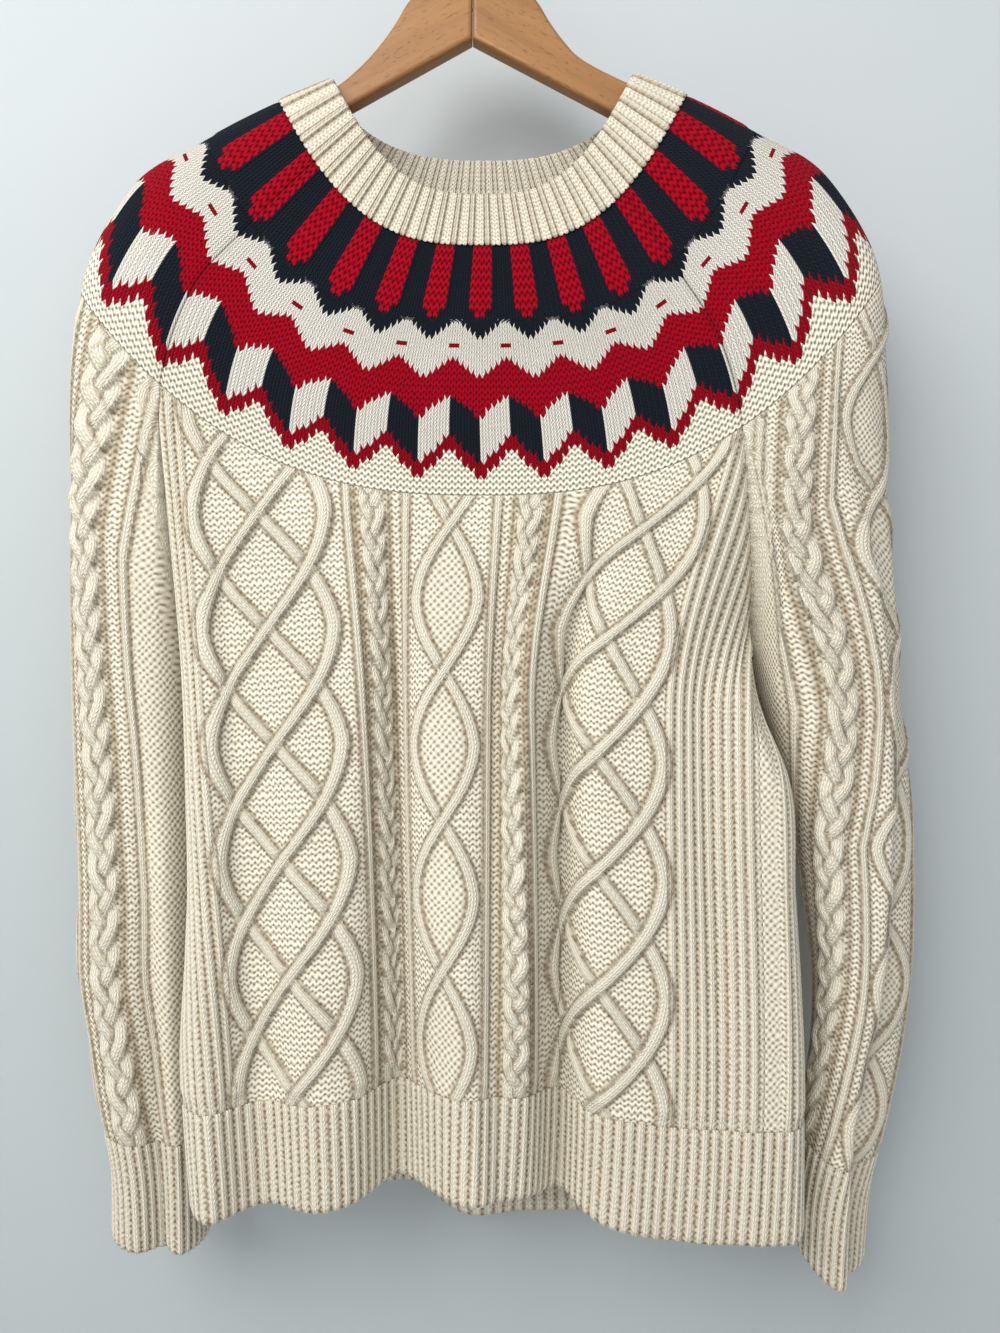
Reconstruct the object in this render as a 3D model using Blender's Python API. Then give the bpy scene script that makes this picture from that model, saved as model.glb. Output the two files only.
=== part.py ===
"""A round-yoke knitted sweater hanging on a wooden hanger.

Metres, +Z up, the front faces -Y. The origin is where the hanger's hook bears on a peg.
Each knitted piece is a wall: its outer points follow the hanging cloth and carry the
ribs and cables, and its inside is plain. Run it with blender --background --python part.py.
"""
import math
from collections import namedtuple

import bmesh
import bpy
import numpy as np

# Cloth
WALL = 0.0025
BAND_WALL = 0.0040
SEAM = 0.0003
CUFF_RIB = 0.066

# Yoke: motifs are counted from the middle one at the front, shoulder ridges at -7 and 7
MOTIFS = 28
RIDGE = 7
MOTIF = 0.0367
CROWD = 0.17
YOKE_DOWN = 0.153
BAND_DOWN = -0.030
TILT = 0.015
RIDGE_BLUNT = 14

# Raglan seams in motifs, and the middle of each panel
FRONT_MIDDLE = -0.5
BACK_MIDDLE = 13.5
RIGHT_MIDDLE = 6.5
LEFT_MIDDLE = -7.5
BODY_MOTIFS = 9
SLEEVE_MOTIFS = 5

# Body and sleeves below the yoke
ARMPIT_Z = -0.4625
BLEND = 0.040
BODY_HALF = 0.216
BODY_MIDDLE_X = -0.0108
HEM_LEVEL = 0.360
RIB_START = 0.787
FRONT_HEM_Z = -0.778
LEFT_HEM_Z = -0.792
RIGHT_HEM_Z = -0.806
BACK_HEM_Z = -0.824

Ring = namedtuple("Ring", "down half_width middle ridge_z front_z back_z front_y back_y power")
RINGS = (
    Ring(-0.030, 0.0935, 0.0065, -0.1125, -0.1930, -0.1465, -0.021, 0.033, 2.8),
    Ring(0.000, 0.1240, 0.0065, -0.1250, -0.2227, -0.1765, -0.024, 0.035, 2.9),
    Ring(0.050, 0.1705, 0.0050, -0.1490, -0.2724, -0.2260, -0.030, 0.036, 3.2),
    Ring(0.100, 0.2130, 0.0045, -0.1765, -0.3255, -0.2780, -0.036, 0.038, 3.0),
    Ring(0.144, 0.2425, 0.0055, -0.2310, -0.3670, -0.3200, -0.040, 0.040, 2.6),
    Ring(0.153, 0.2445, 0.0055, -0.2415, -0.3760, -0.3290, -0.041, 0.041, 2.6),
)

Level = namedtuple("Level", "down left right left_y right_y front_y back_y")
BODY_LEVELS = (
    Level(0.000, -0.1700, 0.1640, -0.024, -0.006, -0.043, 0.036),
    Level(0.040, -0.1680, 0.1730, -0.027, -0.008, -0.045, 0.036),
    Level(0.079, -0.1665, 0.1880, -0.029, -0.008, -0.046, 0.036),
    Level(0.155, -0.1647, 0.1925, -0.030, -0.008, -0.047, 0.034),
    Level(0.216, -0.1670, 0.1960, -0.030, -0.008, -0.047, 0.031),
    Level(0.252, -0.1690, 0.1975, -0.030, -0.008, -0.047, 0.029),
    Level(0.295, -0.1680, 0.1980, -0.030, -0.008, -0.047, 0.027),
    Level(0.360, -0.1630, 0.1975, -0.030, -0.010, -0.047, 0.024),
)
RIGHT_LEVELS = (
    Level(0.000, 0.1660, 0.2575, 0.000, 0.006, -0.030, 0.036),
    Level(0.033, 0.1790, 0.2660, 0.002, 0.010, -0.031, 0.038),
    Level(0.079, 0.1925, 0.2730, 0.002, 0.012, -0.031, 0.038),
    Level(0.124, 0.2000, 0.2755, 0.000, 0.013, -0.031, 0.037),
    Level(0.155, 0.2045, 0.2760, -0.002, 0.013, -0.031, 0.036),
    Level(0.216, 0.2125, 0.2730, -0.004, 0.013, -0.030, 0.035),
    Level(0.252, 0.2122, 0.2680, -0.004, 0.013, -0.028, 0.034),
    Level(0.295, 0.2075, 0.2600, -0.002, 0.014, -0.025, 0.034),
    Level(0.338, 0.2025, 0.2505, 0.002, 0.016, -0.023, 0.034),
    Level(0.385, 0.2010, 0.2470, 0.004, 0.018, -0.022, 0.034),
)
LEFT_LEVELS = (
    Level(0.000, -0.2465, -0.1700, 0.002, 0.008, -0.028, 0.036),
    Level(0.033, -0.2450, -0.1695, 0.002, 0.012, -0.028, 0.037),
    Level(0.079, -0.2440, -0.1685, 0.002, 0.015, -0.028, 0.037),
    Level(0.124, -0.2420, -0.1675, 0.002, 0.015, -0.028, 0.037),
    Level(0.155, -0.2415, -0.1670, 0.002, 0.015, -0.028, 0.036),
    Level(0.216, -0.2409, -0.1680, 0.002, 0.014, -0.027, 0.035),
    Level(0.252, -0.2360, -0.1690, 0.002, 0.013, -0.026, 0.034),
    Level(0.295, -0.2300, -0.1690, 0.002, 0.012, -0.025, 0.034),
    Level(0.338, -0.2223, -0.1680, 0.002, 0.010, -0.024, 0.033),
    Level(0.385, -0.2211, -0.1670, 0.002, 0.010, -0.024, 0.033),
)
ROUNDING = {"body": (0.016, 0.040), "right": (0.022, 0.030), "left": (0.026, 0.030)}

# A fold pushes the cloth forward round a line that runs from x_top at the armpit to x_low at the hem
Fold = namedtuple("Fold", "x_top x_low forward_top forward_low reach_top reach_low")
BODY_FOLDS = (
    Fold(-0.150, -0.145, 0.003, 0.010, 0.012, 0.016),
    Fold(-0.128, -0.120, 0.000, -0.012, 0.014, 0.020),
    Fold(-0.095, -0.086, 0.003, 0.007, 0.022, 0.020),
    Fold(-0.050, -0.042, -0.007, -0.026, 0.012, 0.021),
    Fold(-0.012, 0.000, 0.003, 0.014, 0.016, 0.020),
    Fold(0.016, 0.012, -0.004, 0.000, 0.006, 0.008),
    Fold(0.029, 0.026, 0.006, 0.002, 0.009, 0.012),
    Fold(0.050, 0.047, -0.005, -0.024, 0.010, 0.021),
    Fold(0.095, 0.092, 0.004, 0.005, 0.028, 0.026),
    Fold(0.150, 0.150, -0.003, 0.005, 0.016, 0.030),
)
RIGHT_FOLDS = (
    Fold(0.205, 0.215, 0.002, 0.003, 0.014, 0.010),
)
LEFT_FOLDS = (
    Fold(-0.200, -0.188, 0.000, -0.012, 0.009, 0.008),
    Fold(-0.184, -0.175, 0.000, 0.004, 0.008, 0.008),
)
SLEEVE_TURN = 0.022
SLEEVE_TURNS_OVER = 0.08
# How far the cloth keeps its way off the yoke before it falls
BODY_FULLNESS = 1.0
SLEEVE_FULLNESS = 0.6
SLEEVE_CORNER = 0.18
SLEEVE_LEVEL = 0.385
CUFF_Z = {"right": (-0.828, -0.852), "left": (-0.832, -0.824)}
BACK_FOLLOW = {"body": 0.75, "right": 0.0, "left": 0.0}
BACK_FOLD_REACH = 0.011
# The right sleeve is folded lengthwise: past this line its front steps back
Step = namedtuple("Step", "down x drop reach")
RIGHT_STEP = (
    Step(0.000, 0.2500, 0.004, 0.014),
    Step(0.040, 0.2520, 0.012, 0.012),
    Step(0.079, 0.2528, 0.018, 0.010),
    Step(0.124, 0.2522, 0.020, 0.010),
    Step(0.155, 0.2498, 0.021, 0.010),
    Step(0.216, 0.2438, 0.021, 0.010),
    Step(0.252, 0.2366, 0.021, 0.010),
    Step(0.295, 0.2302, 0.021, 0.010),
    Step(0.385, 0.2262, 0.020, 0.010),
)

# Raglan seams: the motif at the yoke's corner, a point that the seam bends towards, and its armpit
Raglan = namedtuple("Raglan", "motif bend armpit")
RIGHT_ARMPIT = (0.1700, -0.002, ARMPIT_Z)
LEFT_ARMPIT = (-0.1650, 0.008, ARMPIT_Z)
RAGLANS = {
    "right_front": Raglan(4.0, (0.1690, -0.028, -0.422), RIGHT_ARMPIT),
    "right_back": Raglan(9.0, (0.1740, 0.034, -0.400), RIGHT_ARMPIT),
    "left_front": Raglan(-5.0, (-0.1770, -0.022, -0.425), LEFT_ARMPIT),
    "left_back": Raglan(-10.0, (-0.1620, 0.038, -0.400), LEFT_ARMPIT),
}

# Cables, by distance across the cloth from a panel's middle
Cable = namedtuple("Cable", "middle half_width period start height strand")
LATTICE = Cable(0.107, 0.039, 0.268, 0.005, 0.0040, 0.0052)
DIAMOND = Cable(0.0, 0.0180, 0.1700, 0.042, 0.0026, 0.0040)
SLEEVE_DIAMOND = Cable(0.0, 0.0210, 0.1700, 0.042, 0.0026, 0.0042)
BODY_PLAIT = Cable(0.043, 0.0042, 0.066, 0.0, 0.0040, 0.0038)
SLEEVE_PLAIT = Cable(0.050, 0.0056, 0.066, 0.0, 0.0042, 0.0046)
LATTICE_STRANDS = 4
DIAMOND_STRANDS = 2
PLAIT_STRANDS = 3
# A strand that passes under others, and a plait's strand at its lowest, keep this share of their height
UNDER_SHARE = 0.72
RIB_HEIGHT = 0.0014
RELIEF_STARTS = 0.030
# A wall's inside lies closer where three pieces meet, by up to this share
ARMPIT_THINS = 0.6
CORD_HEIGHT = 0.0016
BAND_STANDS = 0.0010
BODY_CORDS = (0.027, 0.058)
SLEEVE_CORDS = (0.029, 0.073)
CORD_HALF = 0.0035
SIDE_RIBS_FROM, SIDE_RIBS_TO, SIDE_RIB_PITCH = 0.150, 0.197, 0.0059

HEM_RIBS_EACH_PANEL = 42
CUFF_RIBS = 24
BAND_RIBS = 42

# Columns of the walls' outer points, and their rows above the armpits, down to the ribs and in them
COLUMNS_PER_MOTIF = 6
RAGLAN_COLUMNS = 4
PER_RIB = 2
Rows = namedtuple("Rows", "blend tube rib")
BODY_ROWS = Rows(12, 15, 2)
HEM_ROWS = Rows(2, 18, 1)
SLEEVE_ROWS = Rows(9, 12, 2)
CUFF_ROWS = Rows(2, 16, 1)
BAND_ROWS = 3
# The plain inside of a large wall takes every third row, and every wall's every other column
INNER_ROW_STEP = 3
INNER_COLUMN_STEP = 2
SECTION_PLACES = 361
RING_PLACES = 481
RING_STEP = 0.02
ROW_STEP = 0.004
YOKE_ROWS = (0.0, 0.050, 0.098, 0.127, YOKE_DOWN)

# Hanger
ARM_THICK = 0.012
ARM_TOP_Z = -0.052
ARM_EDGE = 0.0026
RIDGE_CLEAR = 0.0062
COVERED_RINGS = 4
HOOK_RADIUS = 0.00175
HOOK_BEND = 0.020
HOOK_SINK = 0.016
BORE_SEGMENTS = 16
# An arm's outline, by distance out from the hanger's middle, left and right of the covered ridge
Place = namedtuple("Place", "out z")
ARM_SHOULDER = (
    Place(SEAM / 2, ARM_TOP_Z),
    Place(0.0160, ARM_TOP_Z),
    Place(0.0300, -0.0560),
    Place(0.0400, -0.0650),
    Place(0.0470, -0.0780),
    Place(0.0560, -0.0905),
    Place(0.0665, -0.1025),
)
ARM_UNDER = (
    Place(0.2065, -0.1850),
    Place(0.2080, -0.1930),
    Place(0.2025, -0.2000),
    Place(0.1900, -0.1930),
    Place(0.1500, -0.1690),
    Place(0.0886, -0.1365),
    Place(SEAM / 2, -0.0885),
)
# The hook's shank, from its end in the wood, then its bend from and to these degrees by a step
HOOK_SHANK = (
    (0.0000, ARM_TOP_Z - HOOK_SINK + SEAM),
    (0.0000, ARM_TOP_Z + 0.004),
    (0.0015, -0.046),
)
HOOK_TURNS = (-60, 211, 15)

CREAM = (0.82, 0.76, 0.62)
PATTERN_RED = (0.42, 0.012, 0.03)
BEECH = (0.60, 0.33, 0.13)
STEEL = (0.60, 0.60, 0.60)
KNIT_ROUGHNESS = 0.9
WOOD_ROUGHNESS = 0.45
STEEL_ROUGHNESS = 0.3


def smooth(rows, at):
    """The rows' values at a place in their first column, eased through each row."""
    table = np.array(rows, float)
    places = table[:, 0]
    slopes = np.gradient(table, places, axis=0)
    i = int(np.clip(np.searchsorted(places, at) - 1, 0, len(places) - 2))
    span = places[i + 1] - places[i]
    s = float(np.clip((at - places[i]) / span, 0, 1))
    value = (
        (2 * s**3 - 3 * s**2 + 1) * table[i]
        + (s**3 - 2 * s**2 + s) * span * slopes[i]
        + (3 * s**2 - 2 * s**3) * table[i + 1]
        + (s**3 - s**2) * span * slopes[i + 1]
    )
    return type(rows[0])(*value)


def unit(vectors):
    return vectors / np.maximum(np.linalg.norm(vectors, axis=-1, keepdims=True), 1e-12)


def run_of(line):
    """Distance along a line of points, from its first."""
    steps = np.linalg.norm(np.diff(line, axis=0), axis=1)
    return np.concatenate([[0.0], np.cumsum(steps)])


def along(line, run, places):
    return np.stack([np.interp(places, run, line[:, k]) for k in range(line.shape[1])], axis=1)


def ring(motif, down):
    """A level round of the neckband or yoke, at places counted in motifs."""
    shape = smooth(RINGS, down)
    motif = (np.asarray(motif, float) + RIDGE) % MOTIFS - RIDGE
    behind = motif > RIDGE
    share = np.where(behind, 2 * RIDGE - motif, motif) / RIDGE
    share = (1 - CROWD) * share + CROWD * share**3
    across = np.sin(np.linspace(-math.pi / 2, math.pi / 2, RING_PLACES))
    points = np.empty((len(motif), 3))
    halves = ((~behind, shape.front_z, shape.front_y), (behind, shape.back_z, shape.back_y))
    for chosen, middle_z, middle_y in halves:
        rise = shape.ridge_z + TILT * shape.half_width * across - middle_z
        line = np.stack(
            [
                shape.middle + shape.half_width * across,
                middle_y * np.sqrt(np.clip(1 - np.abs(across) ** RIDGE_BLUNT, 0, 1)),
                middle_z + rise * np.abs(across) ** shape.power,
            ],
            axis=1,
        )
        run = run_of(line)
        run = 2 * run / run[-1] - 1
        points[chosen] = along(line, run, share[chosen])
    return points


def fold_push(folds, x, down):
    """How far the folds push the cloth forward."""
    share = down / HEM_LEVEL
    push = np.zeros_like(x)
    for fold in folds:
        middle = fold.x_top + (fold.x_low - fold.x_top) * share
        forward = fold.forward_top + (fold.forward_low - fold.forward_top) * share
        reach = fold.reach_top + (fold.reach_low - fold.reach_top) * share
        push += forward * np.exp(-(((x - middle) / reach) ** 2))
    return push


def outline(name, down):
    """A level section of a hanging tube: its front and its back, both from left to right."""
    levels = {"body": BODY_LEVELS, "right": RIGHT_LEVELS, "left": LEFT_LEVELS}[name]
    folds = {"body": BODY_FOLDS, "right": RIGHT_FOLDS, "left": LEFT_FOLDS}[name]
    level = smooth(levels, down)
    share = (1 - np.cos(np.linspace(0, math.pi, SECTION_PLACES))) / 2
    x = level.left + (level.right - level.left) * share
    push = fold_push(folds, x, down)
    broad = [fold for fold in folds if fold.reach_top > BACK_FOLD_REACH]
    push_back = BACK_FOLLOW[name] * fold_push(broad, x, down)
    if name == "right":
        step = smooth(RIGHT_STEP, down)
        push_front = push - step.drop / (1 + np.exp(-(x - step.x) / step.reach * 4))
    else:
        push_front = push
    sides = []
    for middle_y, reach, pushed in (
        (level.front_y, ROUNDING[name][0], push_front),
        (level.back_y, ROUNDING[name][1], push_back),
    ):
        left = np.sqrt(1 - (1 - np.clip((x - level.left) / reach, 0, 1)) ** 2)
        right = np.sqrt(1 - (1 - np.clip((level.right - x) / reach, 0, 1)) ** 2)
        y = middle_y + (level.left_y - middle_y) * (1 - left) + (level.right_y - middle_y) * (1 - right)
        sides.append(np.stack([x, y - pushed * left * right], axis=1))
    return sides


def body_section(across, down):
    """Points of the body's tube at distances across the cloth from the front's middle."""
    front, back = outline("body", down)
    loop = np.concatenate([front, back[-2:0:-1], front[:1]])
    run = run_of(loop)
    turn = run[len(front) - 1]
    middle = np.interp(BODY_MIDDLE_X, front[:, 0], run[: len(front)])
    first, last = -middle, turn - middle
    whole = 4 * BODY_HALF
    behind = run[-1] - turn
    cloth = np.where(run <= turn, run - middle, last + (run - turn) * (first + whole - last) / behind)
    wanted = first + (np.asarray(across, float) - first) % whole
    return along(loop, cloth, wanted)


def sleeve_section(name, share, down):
    """Points of a sleeve's tube, by the share of the way round from the underarm by the front."""
    front, back = outline(name, down)
    if name == "right":
        loop = np.concatenate([front, back[::-1]])
        turn = SLEEVE_TURN * min(max(down - BLEND, 0) / SLEEVE_TURNS_OVER, 1)
    else:
        loop = np.concatenate([front[::-1], back])
        turn = 0.0
    run = run_of(loop)
    places = (np.asarray(share, float) * run[-1] - turn) % run[-1]
    return along(loop, run, places)


def raglan(name, share):
    """The seam from a corner of the yoke down to the armpit."""
    corner_motif, bend, armpit = RAGLANS[name]
    corner = ring([corner_motif], YOKE_DOWN)[0]
    share = np.asarray(share, float)[:, None]
    return (1 - share) ** 2 * corner + 2 * share * (1 - share) * np.array(bend) + share**2 * np.array(armpit)


def ring_normals(motif):
    """Outward normals of the cloth at the yoke's lower edge."""
    down = ring(motif, YOKE_DOWN) - ring(motif, YOKE_DOWN - ROW_STEP)
    motif = np.asarray(motif)
    round_it = ring(motif + RING_STEP, YOKE_DOWN) - ring(motif - RING_STEP, YOKE_DOWN)
    return unit(np.cross(round_it, -down))


def top_edge(motifs, seams):
    """A panel's upper edge. motifs is nan on a raglan seam, which seams gives as (name, share)."""
    count = len(motifs)
    points, normals, below = np.zeros((count, 3)), np.zeros((count, 3)), np.zeros((count, 1))
    on_ring = ~np.isnan(motifs)
    points[on_ring] = ring(motifs[on_ring], YOKE_DOWN)
    normals[on_ring] = ring_normals(motifs[on_ring])
    straight_down = np.array([0.0, 0.0, -1.0])
    for k in np.flatnonzero(~on_ring):
        name, share = seams[k]
        points[k] = raglan(name, [share])[0]
        normal = ring_normals(np.array([RAGLANS[name][0]]))[0]
        thin = 1 - ARMPIT_THINS * share
        normals[k] = thin * unit((1 - share**2) * normal + share**2 * straight_down)
        below[k] = share
    return points, normals, below


def hang(top, normals, below, bottom, bottom_falls, rows, fullness):
    """Rows of points that leave a top edge along the cloth and join the tube below it."""
    chord = bottom - top
    reach = np.linalg.norm(chord, axis=1, keepdims=True)
    along_cloth = unit(chord - (chord * normals).sum(axis=1, keepdims=True) * normals)
    falls = unit((1 - below) * along_cloth + below * unit(chord))
    grid = []
    for s in np.linspace(0, 1, rows + 1):
        grid.append(
            (2 * s**3 - 3 * s**2 + 1) * top
            + (s**3 - 2 * s**2 + s) * fullness * reach * falls
            + (3 * s**2 - 2 * s**3) * bottom
            + (s**3 - s**2) * reach * bottom_falls
        )
    return np.array(grid)


def normals_of(grid, turn):
    """Outward normals of a grid whose columns go right round."""
    wrapped = np.concatenate([grid[:, -1:], grid, grid[:, :1]], axis=1)
    across = (wrapped[:, 2:] - wrapped[:, :-2]) / 2
    down = np.gradient(grid, axis=0)
    return turn * unit(np.cross(across, -down))


def hem_z(across):
    """Height of the hem, which rises at the middle of the front."""
    distance = np.abs((across + 2 * BODY_HALF) % (4 * BODY_HALF) - 2 * BODY_HALF)
    front = np.clip(1 - distance / BODY_HALF, 0, 1)
    back = np.clip(distance / BODY_HALF - 1, 0, 1)
    ease_front = front**2 * (3 - 2 * front)
    ease_back = back**2 * (3 - 2 * back)
    rightward = 0.5 + 0.5 * np.sin(math.pi / 2 * across / BODY_HALF)
    side_z = LEFT_HEM_Z + (RIGHT_HEM_Z - LEFT_HEM_Z) * rightward
    return side_z + (FRONT_HEM_Z - side_z) * ease_front + (BACK_HEM_Z - side_z) * ease_back


def body_grid(across, rows):
    """Points, normals and heights above the hem rib, columns right round from the left side seam."""
    count = len(across)
    edge = BODY_MOTIFS / 2 * MOTIF
    motifs, seams = np.full(count, np.nan), [None] * count
    for k, w in enumerate(across):
        back = w > BODY_HALF
        from_middle = w - 2 * BODY_HALF if back else w
        if abs(from_middle) <= edge + 1e-9:
            motifs[k] = (BACK_MIDDLE if back else FRONT_MIDDLE) + from_middle / MOTIF
        else:
            side = "right" if (from_middle > 0) != back else "left"
            name = side + ("_back" if back else "_front")
            seams[k] = (name, (abs(from_middle) - edge) / (BODY_HALF - edge))
    top, top_normals, below = top_edge(motifs, seams)
    blend_z = ARMPIT_Z - BLEND
    low_z = hem_z(across)

    def tube(v):
        level = BLEND + v * (HEM_LEVEL - BLEND)
        flat = body_section(across, level)
        return np.column_stack([flat, blend_z + v * (low_z - blend_z)])

    start = tube(0)
    start_falls = unit(tube(0.02) - start)
    upper = hang(top, top_normals, below, start, start_falls, rows.blend, BODY_FULLNESS)
    shares = np.concatenate(
        [
            np.linspace(0, RIB_START, rows.tube + 1)[1:],
            np.linspace(RIB_START, 1, rows.rib + 1)[1:],
        ]
    )
    grid = np.concatenate([upper, np.array([tube(v) for v in shares])])
    normals = normals_of(grid, 1.0)
    normals[0] = top_normals
    return grid, normals, heights_above(grid, rows.blend + rows.tube)


def heights_above(grid, row):
    """Distance up the cloth from a row, negative below it."""
    steps = np.linalg.norm(np.diff(grid, axis=0), axis=2)
    run = np.concatenate([np.zeros((1, grid.shape[1])), np.cumsum(steps, axis=0)])
    return run[row] - run


def sleeve_grid(name, shares, rows):
    """Points, normals, heights above the cuff and distances from the sleeve's middle line."""
    middle = RIGHT_MIDDLE if name == "right" else LEFT_MIDDLE
    sense = 1 if name == "right" else -1
    corner = SLEEVE_CORNER
    motifs, seams = np.full(len(shares), np.nan), [None] * len(shares)
    for k, share in enumerate(shares):
        if corner - 1e-9 <= share <= 1 - corner + 1e-9:
            motifs[k] = middle + sense * (share - 0.5) / (0.5 - corner) * SLEEVE_MOTIFS / 2
        elif share < corner:
            seams[k] = (name + "_front", 1 - share / corner)
        else:
            seams[k] = (name + "_back", (share - 1 + corner) / corner)
    top, top_normals, below = top_edge(motifs, seams)
    low_z = CUFF_Z[name][0] + (CUFF_Z[name][1] - CUFF_Z[name][0]) * np.sin(math.pi * shares) ** 2
    blend_z = ARMPIT_Z - BLEND

    def tube(v):
        flat = sleeve_section(name, shares, BLEND + v * (SLEEVE_LEVEL - BLEND))
        return np.column_stack([flat, blend_z + v * (low_z - blend_z)])

    start = tube(0)
    start_falls = unit(tube(0.02) - start)
    upper = hang(top, top_normals, below, start, start_falls, rows.blend, SLEEVE_FULLNESS)
    rib_start = 1 - CUFF_RIB / (blend_z - CUFF_Z[name][0])
    levels = np.concatenate(
        [
            np.linspace(0, rib_start, rows.tube + 1)[1:],
            np.linspace(rib_start, 1, rows.rib + 1)[1:],
        ]
    )
    grid = np.concatenate([upper, np.array([tube(v) for v in levels])])
    normals = normals_of(grid, float(sense))
    normals[0] = top_normals
    rounds = np.array([run_of(np.concatenate([row, row[:1]]))[-1] for row in grid])
    rounds[: rows.blend] = rounds[rows.blend]
    across = (np.asarray(shares)[None, :] - 0.5) * rounds[:, None]
    return grid, normals, heights_above(grid, rows.blend + rows.tube), across


def triangle_wave(phase):
    """From -1 at phase 0 to 1 at phase 0.5 and back, with eased turns."""
    wave = 1 - 4 * np.abs((phase % 1) - 0.5)
    return np.sin(wave * 1.25) / math.sin(1.25)


def strand(distance, half_width):
    """Round-topped cross-section of a raised strand."""
    return np.sqrt(np.clip(1 - (distance / half_width) ** 2, 0, 1))


def lattice(across, height, middle, cable, strands):
    """Strands that cross a panel and turn at its edges. Those that rise to the right lie on top."""
    raised = np.zeros_like(across)
    lean = math.hypot(1, 4 * cable.half_width / cable.period)
    for k in range(strands):
        phase = (height - cable.start) / cable.period + k / strands
        distance = (across - middle - cable.half_width * triangle_wave(phase)) / lean
        lift = np.where((phase % 1) < 0.5, 1.0, UNDER_SHARE)
        raised = np.maximum(raised, cable.height * lift * strand(distance, cable.strand))
    return raised


def plait(across, height, middle, cable):
    """Three strands plaited together."""
    raised = np.zeros_like(across)
    for k in range(PLAIT_STRANDS):
        angle = 2 * math.pi * (height / cable.period + k / PLAIT_STRANDS)
        distance = across - middle - cable.half_width * np.sin(angle)
        lift = UNDER_SHARE + (1 - UNDER_SHARE) * np.sin(2 * angle)
        raised = np.maximum(raised, cable.height * lift * strand(distance, cable.strand))
    return raised


def cords(across, places):
    raised = np.zeros_like(across)
    for place in places:
        raised = np.maximum(raised, CORD_HEIGHT * strand(np.abs(across) - place, CORD_HALF))
    return raised


def body_relief(across, height):
    """How far the body's cables and ribs stand out. across runs from a panel's middle."""
    raised = cords(across, BODY_CORDS)
    raised = np.maximum(raised, lattice(across, height, 0.0, DIAMOND, DIAMOND_STRANDS))
    for side in (-1, 1):
        raised = np.maximum(raised, lattice(across, height, side * LATTICE.middle, LATTICE, LATTICE_STRANDS))
        raised = np.maximum(raised, plait(across, height, side * BODY_PLAIT.middle, BODY_PLAIT))
    from_edge = np.abs(across) - SIDE_RIBS_FROM
    ribs = RIB_HEIGHT * (0.5 + 0.5 * np.cos(2 * math.pi * (from_edge / SIDE_RIB_PITCH - 0.5)))
    inside = (from_edge > 0) & (np.abs(across) < SIDE_RIBS_TO)
    return np.where(inside, np.maximum(raised, ribs), raised)


def sleeve_relief(across, height):
    raised = cords(across, SLEEVE_CORDS)
    raised = np.maximum(raised, lattice(across, height, 0.0, SLEEVE_DIAMOND, DIAMOND_STRANDS))
    for side in (-1, 1):
        raised = np.maximum(raised, plait(across, height, side * SLEEVE_PLAIT.middle, SLEEVE_PLAIT))
    return raised


def set_back(points, normals, top_sense=None, left=False, right=False, bottom=False, top=False):
    """Takes a piece's edges in by half a seam, along the cloth."""
    half = SEAM / 2
    moved = points.copy()
    if top_sense is not None:
        ends = np.concatenate([points[0, -1:], points[0], points[0, :1]])
        if left:
            ends[0] = 2 * points[0, 0] - points[0, 1]
            ends[-1] = 2 * points[0, -1] - points[0, -2]
        tangent = unit(ends[2:] - ends[:-2])
        moved[0] -= top_sense * half * unit(np.cross(normals[0], tangent))
    if top:
        moved[0] += half * away(points[1] - points[0], points[0])
    if bottom:
        moved[-1] += half * away(points[-2] - points[-1], points[-1])
    if left:
        moved[:, 0] += half * away(points[:, 1] - points[:, 0], points[:, 0])
    if right:
        moved[:, -1] += half * away(points[:, -2] - points[:, -1], points[:, -1])
    return moved


def away(inward, seam):
    """Unit directions into a piece, square to its seam line."""
    tangent = unit(np.gradient(seam, axis=0))
    return unit(inward - (inward * tangent).sum(axis=1, keepdims=True) * tangent)


def face_outward(solid):
    bmesh.ops.recalc_face_normals(solid, faces=solid.faces)
    if solid.calc_volume(signed=True) < 0:
        bmesh.ops.reverse_faces(solid, faces=solid.faces)


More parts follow.
